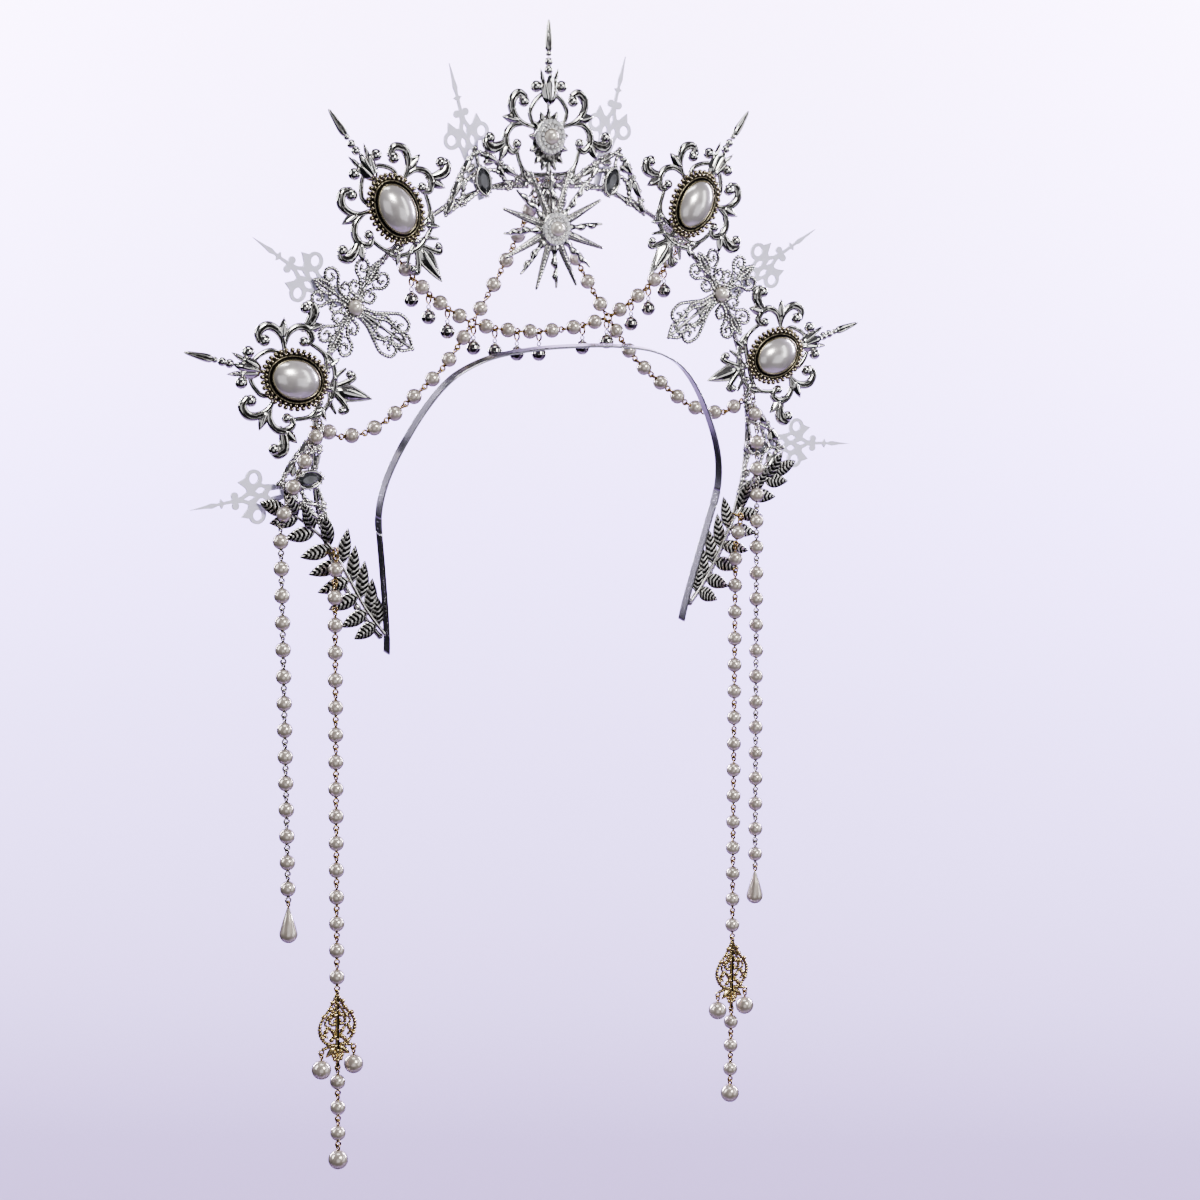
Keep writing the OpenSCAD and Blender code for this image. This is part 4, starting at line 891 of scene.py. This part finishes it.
# leaves: foot, point; the high ones rise to the front
LOW_LEAVES = [[133, -27, 146.6, -28], [124.4, -33.6, 138.8, -35.4], [116.2, -42, 131, -44.6],
              [111, -49.8, 107.4, -34.6], [111.6, -49.4, 126.6, -52.8], [105.6, -59, 103.6, -42.8],
              [106.6, -57.4, 122, -61.4], [101, -66.6, 98.6, -50.4], [102, -65.2, 116.4, -69.8],
              [96, -74.4, 94.6, -58.8], [97, -73, 110.2, -78.4], [91.4, -80.2, 92.6, -66.4],
              [92.4, -79, 103.4, -84.6], [139, -23.6, 151.5, -18.6]]
HIGH_LEAVES = [[133.5, -26.4, 141, -13.6], [125, -33, 131.6, -20.6], [116.8, -41, 120.8, -26.6]]
LEAF_W, LEAF_GROWTH, HIGH_RISE = 7.4, 1.1, 3.2
SIDES = (("left", np.array([-1, 1, 1])), ("right", np.array([1, 1, 1])))
FLIP = SIDES[0][1]

for side, flip in SIDES:
    z = LAYER + 1.0
    s = Skins()
    s.turn = np.diag(flip)
    s.add(*bar(STEM, z, height=1.0, sides=10))
    for leaves, rise in ((LOW_LEAVES, 0.0), (HIGH_LEAVES, HIGH_RISE)):
        for row in leaves:
            foot, point = np.array(row[:2]), np.array(row[2:])
            s.add(*leaf(foot, foot + LEAF_GROWTH * (point - foot), LEAF_W, z + 0.1, 1.2, rise, 7,
                        sides=22))
    make(f"branch_{side}_leaves", s, [LEAF], "antiqued_leaf", [f"branch_{side}"])

# %% [markdown]
# The strings are pearls on eye pins: each pin is bent to a small loop at both ends, and the loops
# hook into each other. The joints of a string are spread evenly along a smooth curve, or hang
# straight down, and a pearl is threaded between each two joints.
# %% Pearls on eye pins
BEAD, PIN, LOOP, JUMP = 3.65, 0.48, 1.25, 1.9
# from a joint to its loop's middle, from a joint to the middle of the wire it hooks on, from
# a jump ring's wire to the wire it hangs on, and from a pearl's middle to its cups, in radii
EYE, GRIP, HOOK, CAP_AT = 0.825, 0.45, 0.8, 0.97
DOWN = np.array([0, -1, 0])


def loop(s, centre, axis, r=LOOP, n=20, finish=1):
    """Closed ring of pin wire."""
    s.add(ring(centre, axis, r, PIN, n), 0.8, finish=finish, ring=True)


def eye(s, joint, way, axis, long, w=PIN):
    """End loop of a pin at the joint, and the straight part that goes on from it along way."""
    loop(s, joint + way * EYE, axis)
    s.add(turned([[w, 0], [w, long]], joint + way * (EYE + LOOP), way, 7), 0.8, finish=1)


def threaded(s, middle, way, r):
    """Pearl with its hole along way."""
    f = np.radians(np.linspace(-84, 84, 15))
    s.add(turned(np.stack([r * np.cos(f), r * np.sin(f)], 1), middle, way, 24), 1.0)


def cap(s, foot, way):
    """Small cup at the end of a pearl's hole."""
    s.add(turned([[0.2, 0.1], [0.95, 0.1], [1, -0.05], [0.7, -0.35], [0.2, -0.4]], foot, way, 12),
          0.6, finish=1)


def string(s, joints, first=1, last=0):
    """A pearl between every two joints. first and last say whether the string's end loops are
    edge-on; the other loops are hooked crosswise."""
    for i, (a, b) in enumerate(zip(joints[:-1], joints[1:])):
        t = unit(b - a)
        n = unit(np.array([0, 0, 1]) - t[2] * t)
        side = np.cross(n, t)
        threaded(s, (a + b) / 2, t, BEAD)
        long = np.linalg.norm(b - a) / 2 - EYE - LOOP - BEAD + 0.5
        for joint, way, edge in ((a, t, i or first), (b, -t, i == len(joints) - 2 and last)):
            eye(s, joint, way, side if edge else n, long, 0.9 * PIN)
            cap(s, (a + b) / 2 - way * BEAD * CAP_AT, way)


def strung(node, s, plate=GOLD):
    """Makes the piece of pearls on pins of that plate, in place of its node."""
    make(f"{node}_pearls", s, [PEARL, plate], "pearl_string", [node])


def hung(s, joint, r, l):
    """Pearl of radius r whose middle is l below the joint, on a pin with one loop."""
    eye(s, joint, DOWN, [1, 0, 0], l - EYE - LOOP - r + 0.5)
    threaded(s, joint + DOWN * l, DOWN, r)
    cap(s, joint + DOWN * (l - r * CAP_AT), -DOWN)


def spread(controls, n):
    """n + 1 joints at equal steps along the smooth curve through the control points."""
    c = smooth_curve(controls, 8)
    way = lengths(c)
    return np.stack([np.interp(np.linspace(0, way[-1], n + 1), way, v) for v in c.T], 1)


def row_down(p, n, step, drift):
    """n joints below p, each a step lower and moved sideways by drift."""
    return np.array(p, float) + np.arange(1, n + 1)[:, None] * [drift, -step, 0]


def ring_point(angle, r, d, size, q):
    """Point of a ring of radius size round the arch wire, q degrees from outward to the front."""
    a, q = math.radians(angle), math.radians(q)
    r = r + size * math.cos(q)
    return np.array([r * math.sin(a), r * math.cos(a), d + size * math.sin(q)])


def ring_mid(q, u):
    """Middle of a jump ring hung on wire point q along the direction u."""
    return q + (JUMP - HOOK) * unit(u)


def ring_end(q, u, t):
    """The point of that ring in the direction t, where the next loop hangs."""
    return ring_mid(q, u) + JUMP * unit(t)


def wire_ring(s, angle, r, d, size):
    """Ring of radius size round the arch wire."""
    a = math.radians(angle)
    loop(s, [r * math.sin(a), r * math.cos(a), d], [math.cos(a), -math.sin(a), 0], size, 28)


# %% [markdown]
# The outer strings hang from rings on the arch beside the lower castings, and end in a long drop
# pearl. The inner ones hang from the arch behind the branches.
# %% Outer and inner strings
OUT_ANGLE, OUT_D, IN_ANGLE, IN_D = 82.3, 8.9, 110.5, 8.2
OUT_RING, IN_RING = (HALO_R, 1.0, 2.6), (HALO_R - 0.1, 1.5, 3.3)

out_ring = ring_point(OUT_ANGLE, *OUT_RING, 85)
out_up, out_along = np.array([0.1, -0.3, 0.95]), np.array([0.02, -0.93, 0.37])
out_joint = ring_end(out_ring, out_up, out_along) - GRIP * out_along
OUTER = {
    "left": np.concatenate([spread([out_joint, [129.5, 6, 9.0], [136.6, -6.5, 9.3],
                                    [142.6, -19, 9.1], [145.6, -29.6, OUT_D]], 4),
                            row_down([145.5, -29.6, OUT_D], 14, 12.35, -0.15)]) * FLIP,
    "right": np.concatenate([[out_joint], row_down([122.5, 13.26, OUT_D], 18, 13.16, 0.2)])}
in_ring = ring_point(IN_ANGLE, *IN_RING, 90)
in_up, in_along = np.array([0, -0.3, 0.95]), np.array([-0.04, -0.985, 0.16])
in_joint = ring_end(in_ring, in_up, in_along) - GRIP * in_along
INNER = {
    "left": np.concatenate([[in_joint], row_down([117.4, -44.64, IN_D], 16, 12.76, 0.02)]) * FLIP,
    "right": np.concatenate([[in_joint], row_down([110.8, -43.84, IN_D], 16, 13.46, 0.12)])}
for side, flip in SIDES:
    for name, joints, angle, wire, middle, plate in (
            ("outer", OUTER[side], OUT_ANGLE, OUT_RING, ring_mid(out_ring, out_up), GREY_PIN),
            ("inner", INNER[side], IN_ANGLE, IN_RING, ring_mid(in_ring, in_up), GOLD)):
        s = Skins()
        string(s, joints, first=0)
        wire_ring(s, flip[0] * angle, *wire)
        loop(s, middle * flip, [1, 0, 0], JUMP, 24)
        strung(f"{name}_{side}", s, plate)

# %% [markdown]
# A drop pearl is turned: a ball below that narrows to a neck, with the pin's loop above it.
# %% Drop pearls
DROP_L, DROP_R, DROP_PIN = 16.5, 4.2, 0.8
f = np.radians(np.linspace(-84, 20, 12))
belly = np.stack([DROP_R * np.cos(f), DROP_R + DROP_R * np.sin(f)], 1)
neck = smooth_curve([belly[-1], [DROP_R * 0.64, DROP_L * 0.62], [DROP_R * 0.32, DROP_L * 0.86],
                     [0.75, DROP_L - 0.1]], 5)[1:]
for side, _ in SIDES:
    foot = OUTER[side][-1]
    s = Skins()
    bottom = foot + DOWN * (EYE + LOOP + DROP_PIN + DROP_L)
    s.add(turned(np.concatenate([belly, neck]), bottom, -DOWN, 28), 1.0)
    eye(s, foot, DOWN, [1, 0, 0], 1.4)
    make(f"drop_{side}_pearl", s, [PEARL, GOLD], "drop_pearl", [f"drop_{side}"])

# %% [markdown]
# Each inner string ends in a stamped filigree drop: a leaf of gold wire scrolls with grained
# edges, a small flower near its foot, and pearls below and at its sides.
# %% Filigree pendants and their tails
PENDANT_L, SIDE_DROP, SIDE_X = 37.2, 28.7, 8.6
TAIL_STEP, TAIL_PEARLS = 12.5, 3
# hung pearls: radius, and how far the middle is below the joint
END_PEARL, SIDE_PEARL = (4.7, 6.7), (4.6, 7.4)


def pendant(joint):
    """Pendant hung from joint, drawn with y down from it."""
    s = Skins()
    grain = dict(height=1.0, grain=0.4, pitch=1.5, k=18, sides=9)
    draw(s, 0, [
        [[0.4, -2.6, 1], [3.6, -8, 1], [8.6, -14.4, 1], [9.2, -19, 1.2], [6.8, -24, 1], [0.6, -27, 1]],
        [[0.3, -23.5, 1], [4.6, -17.4, 1], [7, -20.2, 1], [5.6, -21.8, 0.8]],
        [[0.2, -9.6, 1], [4.2, -14.4, 1], [1.9, -16.6, 1], [1.6, -14.4, 0.8]],
        [[2, -26, 1], [7.8, -27.4, 1]]], [[1, -27, 6.6, -31.6, 3.4, 0.2, 1.4]], [
        [x, y, 1.3] for x, y in
        ((2.7, -5.4), (7.4, -11.6), (4.6, -12.4), (2.4, -19.4), (6.2, -18.8), (3.4, -23.4),
         (1.6, -11.8), (4, -8.6), (8.2, -21.6), (2, -22.2), (5.2, -25.2))], lift=0.5, **grain)
    draw(s, 0.3, [[[0.2, -6, 0.8], [3.2, -10.6, 0.8], [6.6, -14.6, 0.8], [5.6, -17, 0.8]]], **grain)
    draw(s, 0, [[[0, -1.9, 1], [0, -26, 1.1], [0, -36.2, 1]]], pair=False, height=1.0, groove=GROOVE)
    wreath(s.add, 0, -31.4, 0.4, 2.4, 8, 1.1, 0.0, 0.7)
    wreath(s.add, 0, -31.4, 0.9, 1.2, 8, 0.5, 0.4, 1.0, (5, 8))
    s.add(*ball([0, -31.4, 0.9], 1.0))
    s.both(ring([SIDE_X, -SIDE_DROP, 0], [0, 0, 1], LOOP, PIN), 0.8, ring=True)
    loop(s, [0, -PENDANT_L, 0], [0, 0, 1], finish=0)
    loop(s, [0, -EYE, 0], [1, 0, 0], finish=0)
    s.points = [p + joint for p in s.points]
    return s


for side, _ in SIDES:
    foot = INNER[side][-1]
    make(f"pendant_{side}_filigree", pendant(foot), [GILT], "gilt_filigree", [f"pendant_{side}"])
    s = Skins()
    top = foot + DOWN * (PENDANT_L + EYE)
    string(s, [top + DOWN * TAIL_STEP * i for i in range(TAIL_PEARLS + 1)])
    hung(s, top + DOWN * TAIL_STEP * TAIL_PEARLS, *END_PEARL)
    for x in (-SIDE_X, SIDE_X):
        hung(s, foot + [x, -SIDE_DROP - EYE, 0], *SIDE_PEARL)
    strung(f"tail_{side}", s)

# %% [markdown]
# Between the castings hang the swags: one across the middle, two short ones that join it to the
# star's casting, and one at each side that runs out to the arch. They meet in two crossing rings.
# %% Swags
SWAG_D, CROSSING_R = -0.4, 2.1
SWAG_ANGLE, STAR_ANGLE, SIDE_ANGLE = 41.7, 1.7, 83.6
SWAG_RING, SIDE_RING = (HALO_R - 0.6, SWAG_D + 0.2, 2.2), (HALO_R - 0.3, SWAG_D - 0.1, 2.1)
cross_ring = np.array([38.5, 57.5, SWAG_D])
up_ring = ring_point(SWAG_ANGLE, *SWAG_RING, 180)
up_way = np.array([-0.665, -0.747, 0])


def off_ring(t):
    """Joint of a loop on the crossing ring, its string leaving along t."""
    return cross_ring + (CROSSING_R - GRIP) * unit(t)


swag_side = spread([ring_end(up_ring, up_way, up_way) + GRIP * np.array([0.68, 0.73, 0]),
                    [69, 77.9, SWAG_D], [56, 67.3, SWAG_D], off_ring([0.88, 0.48, 0])], 4)
swag_mid = spread([off_ring([-0.98, -0.18, 0]) * FLIP, [-18.6, 53.5, SWAG_D], [0, 52.4, SWAG_D],
                   [18.6, 53.5, SWAG_D], off_ring([-0.98, -0.18, 0])], 6)
s = Skins()
string(s, swag_mid, last=1)
for _, flip in SIDES:
    string(s, swag_side * flip, last=1)
    wire_ring(s, flip[0] * SWAG_ANGLE, *SWAG_RING)
    loop(s, ring_mid(up_ring, up_way) * flip, [0, 0, 1], JUMP, 24)
    loop(s, cross_ring * flip, [0, 0, 1], CROSSING_R, 24)
strung("centre_swag", s)

star_ring_at = ring_point(STAR_ANGLE, *SWAG_RING, 180)
star_way = np.array([0.08, -1, 0])
second = ring_end(star_ring_at, star_way, star_way)
star_joints = spread([ring_end(second, star_way, star_way) + GRIP * np.array([-0.47, 0.88, 0]),
                      [20.6, 84.6, SWAG_D], off_ring([-0.54, 0.84, 0])], 5)
side_joints = spread([off_ring([0.65, -0.76, 0]), [51.2, 40.6, SWAG_D], [60, 32.6, SWAG_D],
                      [69.8, 25, SWAG_D], [80, 18, SWAG_D], [89, 12, SWAG_D],
                      [98.5, 8.8, SWAG_D], [107, 8.2, SWAG_D], [114, 9.4, SWAG_D],
                      ring_point(SIDE_ANGLE, *SIDE_RING, 180) + GRIP * np.array([0.9, 0.44, 0])], 8)
for side, flip in SIDES:
    s = Skins()
    string(s, star_joints * flip, first=0, last=1)
    wire_ring(s, flip[0] * STAR_ANGLE, *SWAG_RING)
    loop(s, ring_mid(star_ring_at, star_way) * flip, [0, 0, 1], JUMP, 24)
    loop(s, ring_mid(second, star_way) * flip, [1, 0, 0], JUMP, 24)
    strung(f"star_string_{side}", s)
    s = Skins()
    string(s, side_joints * flip)
    wire_ring(s, flip[0] * SIDE_ANGLE, *SIDE_RING)
    strung(f"side_swag_{side}", s)

# %% [markdown]
# Twelve little bells hang below the middle swag. A bell is pressed from sheet: a ball with a seam
# round its middle and two crossed slots below, which are cut into the grid as shallow dents where a
# point lies near one of the two upright planes, and painted black as painted shade for the hollow
# inside.
# %% Bells
BELL_R, BELL_DROP = 3.45, 10.2


def bell_at(joints, i):
    """Where a bell's ring passes through the face-on loop before joint i."""
    t = unit(joints[i] - joints[i - 1])
    return joints[i] - (EYE + 0.3) * t + 0.45 * np.array([t[1], -t[0], 0]) * np.sign(t[0])


def bell(s, c):
    """Ball BELL_DROP below c: radius 1, + 0.08 at the seam, - 0.14 in a slot, times BELL_R. The
    slots' black is painted shade.
    """
    f = np.radians(np.linspace(-86, 86, 27))[:, None]
    q = around(44)
    way = np.stack([np.cos(f) * np.cos(q), np.sin(f) + 0 * q, np.cos(f) * np.sin(q)], -1)
    slot = (np.abs(way[..., [0, 2]]).min(-1) < 0.09) & (way[..., 1] < -0.25)
    r = BELL_R * (1 + 0.08 * np.exp(-((f / 0.08) ** 2)) - 0.14 * slot)
    middle = c + DOWN * BELL_DROP
    # worn 0 paints the slots black: painted shade for the hollow inside the bell, since the slots are
    # only shallow dents
    s.add(middle + way * r[..., None], np.where(slot, 0.0, 0.75))
    top = middle - DOWN * (BELL_R - 0.3)
    s.add(turned([[1.3, -0.3], [1.2, 0.4], [0.5, 0.9], [0.3, 1]], top, -DOWN, 16), 0.6)
    s.add(ring(top - DOWN * 1.6, [0, 0, 1], 0.95, 0.3), 0.6, ring=True)
    loop(s, c + DOWN * JUMP, [1, 0, 0], JUMP)


s = Skins()
for _, flip in SIDES:
    for i in (1, 2, 3):
        bell(s, bell_at(swag_side, i) * flip)
    bell(s, (cross_ring + [-0.75, -1.2, 0]) * flip)
for i in (1, 2, 3, 5):
    bell(s, bell_at(swag_mid, i))
make("jingle_bells", s, [BELL, GOLD], "bell_metal", ["bells"])

# %% [markdown]
# The stage is a sheet of paper which bends up from a floor into a wall, so no edge shows behind the
# crown. Its colour is darkened by painted shade, from almost white at the top of the picture to
# lilac grey at its foot. It stands square to the camera's view and well behind the crown, with its
# own lamps, because polished metal and pearls look grey and round only where they mirror a mostly dark
# room.
# %% Stage and light
FLOOR, WALL, BEND, HALF_WIDTH, FRONT_EDGE, TOP_EDGE = -1.5, 2.4, 0.8, 1.7, -0.6, 1.1
away, sideways = unit(forward * [1, 1, 0]), unit(right * [1, 1, 0])
arc = np.linspace(0, math.pi / 2, 24)
deep = np.concatenate([[FRONT_EDGE], WALL - BEND + BEND * np.sin(arc), [WALL]])
high = np.concatenate([[FLOOR], FLOOR + BEND - BEND * np.cos(arc), [TOP_EDGE]])
wide = np.array([-HALF_WIDTH, HALF_WIDTH])
sweep = (wide[:, None, None] * sideways + deep[None, :, None] * away
         + high[None, :, None] * np.array([0, 0, 1.0]))
n = len(deep)
mesh = bpy.data.meshes.new("sweep")
mesh.from_pydata(sweep.reshape(-1, 3).tolist(), [],
                 [(i, i + n, i + n + 1, i + 1) for i in range(n - 1)])
mesh.polygons.foreach_set("use_smooth", [True] * (n - 1))
# heights on the wall where the top and the bottom edge of the picture fall
edges = forward + np.array([[-1], [1]]) * FRAME_PX / 2 / FOCAL_PX * down
reach = (WALL - place @ away * MM) / (edges @ away)
top_z, foot_z = (float(v) for v in place[2] * MM + reach * edges[:, 2])
SHEET, tree = start("matt_studio_paper_with_painted_shade")
spot = add(tree, "ShaderNodeTexCoord").outputs["Object"]
height = add(tree, "ShaderNodeSeparateXYZ", {0: spot}).outputs["Z"]
level = rescale(tree, height, (foot_z, top_z))
fibre = add(tree, "ShaderNodeMath", {0: clouds(tree, 2.0), 1: 0.02, 2: level},
            operation="MULTIPLY_ADD").outputs[0]
# painted shade: the paper's colour runs from lilac grey at the foot of the picture to almost white at
# its top
tone = ramp(tree, fibre, (0.0, "#6F627B"), (1.0, "#EFDBFF"), (0.1, "#7B6D8C"), (0.2, "#998AB1"),
            (0.4, "#BDACE0"), (0.6, "#CCB9F4"))
coat(tree, {"Base Color": tone, "Roughness": 0.9, "Specular IOR Level": 0.1})
mesh.materials.append(SHEET)
sheet = bpy.data.objects.new("sweep", mesh)
bpy.context.scene.collection.objects.link(sheet)

# each lamp: metres sideways, away from the camera and up; size; watts; colour; what it aims at
CROWN = (0, 0, -0.05)
LIGHTS = {"key_box": ((1.05, -1.3, 0.8), (0.48, 0.48), 44, "#FFFCF8", CROWN),
          "left_box": ((-1.4, -0.5, 0.6), (0.35, 1.1), 18, "#FFFFFF", CROWN),
          "right_box": ((1.6, -0.2, 0.3), (0.25, 1.1), 6, "#FFFFFF", CROWN),
          "front_box": ((0.2, -2.0, -0.3), (1.3, 1.3), 6, "#FAF9FF", CROWN),
          "mirror_box": ((1.85, -0.8, -0.4), (1.0, 1.0), 5, "#FAF9FF", CROWN),
          "top_box": ((0.0, -0.4, 1.5), (0.9, 0.35), 12, "#FFFFFF", CROWN),
          "wall_box_left": ((-1.6, 1.2, 0.6), (0.4, 1.4), 400, "#EBE2FF", (0.1, WALL, -0.2)),
          "wall_box_right": ((1.6, 1.2, 0.6), (0.4, 1.4), 400, "#EBE2FF", (-0.1, WALL, -0.2))}
for name, (where, size, power, colour, aim) in LIGHTS.items():
    data = bpy.data.lights.new(name, "AREA")
    data.shape, data.size, data.size_y = "RECTANGLE", *size
    data.energy, data.color = power, linear(colour)[:3]
    where, aim = (v[0] * sideways + v[1] * away + [0, 0, v[2]] for v in (where, aim))
    back = unit(where - aim)
    side = unit(np.cross([0, 0, 1], back))
    stand(bpy.data.objects.new(name, data), side, np.cross(back, side), back, where)

# a dim room, lighter towards its ceiling, for the metal to mirror
room = bpy.data.worlds.new("room")
room.use_nodes = True
tree = room.node_tree
tree.nodes.clear()
way = add(tree, "ShaderNodeTexCoord").outputs["Generated"]
height = add(tree, "ShaderNodeSeparateXYZ", {0: way}).outputs["Z"]
tone = ramp(tree, rescale(tree, height, (-0.5, 0.8)), (0.0, "#232327"), (1.0, "#8A8991"))
sky = add(tree, "ShaderNodeBackground", {"Color": tone, "Strength": 0.4})
add(tree, "ShaderNodeOutputWorld", {"Surface": sky.outputs[0]})
bpy.context.scene.world = room
print(len(LIGHTS), "lamps and a room")
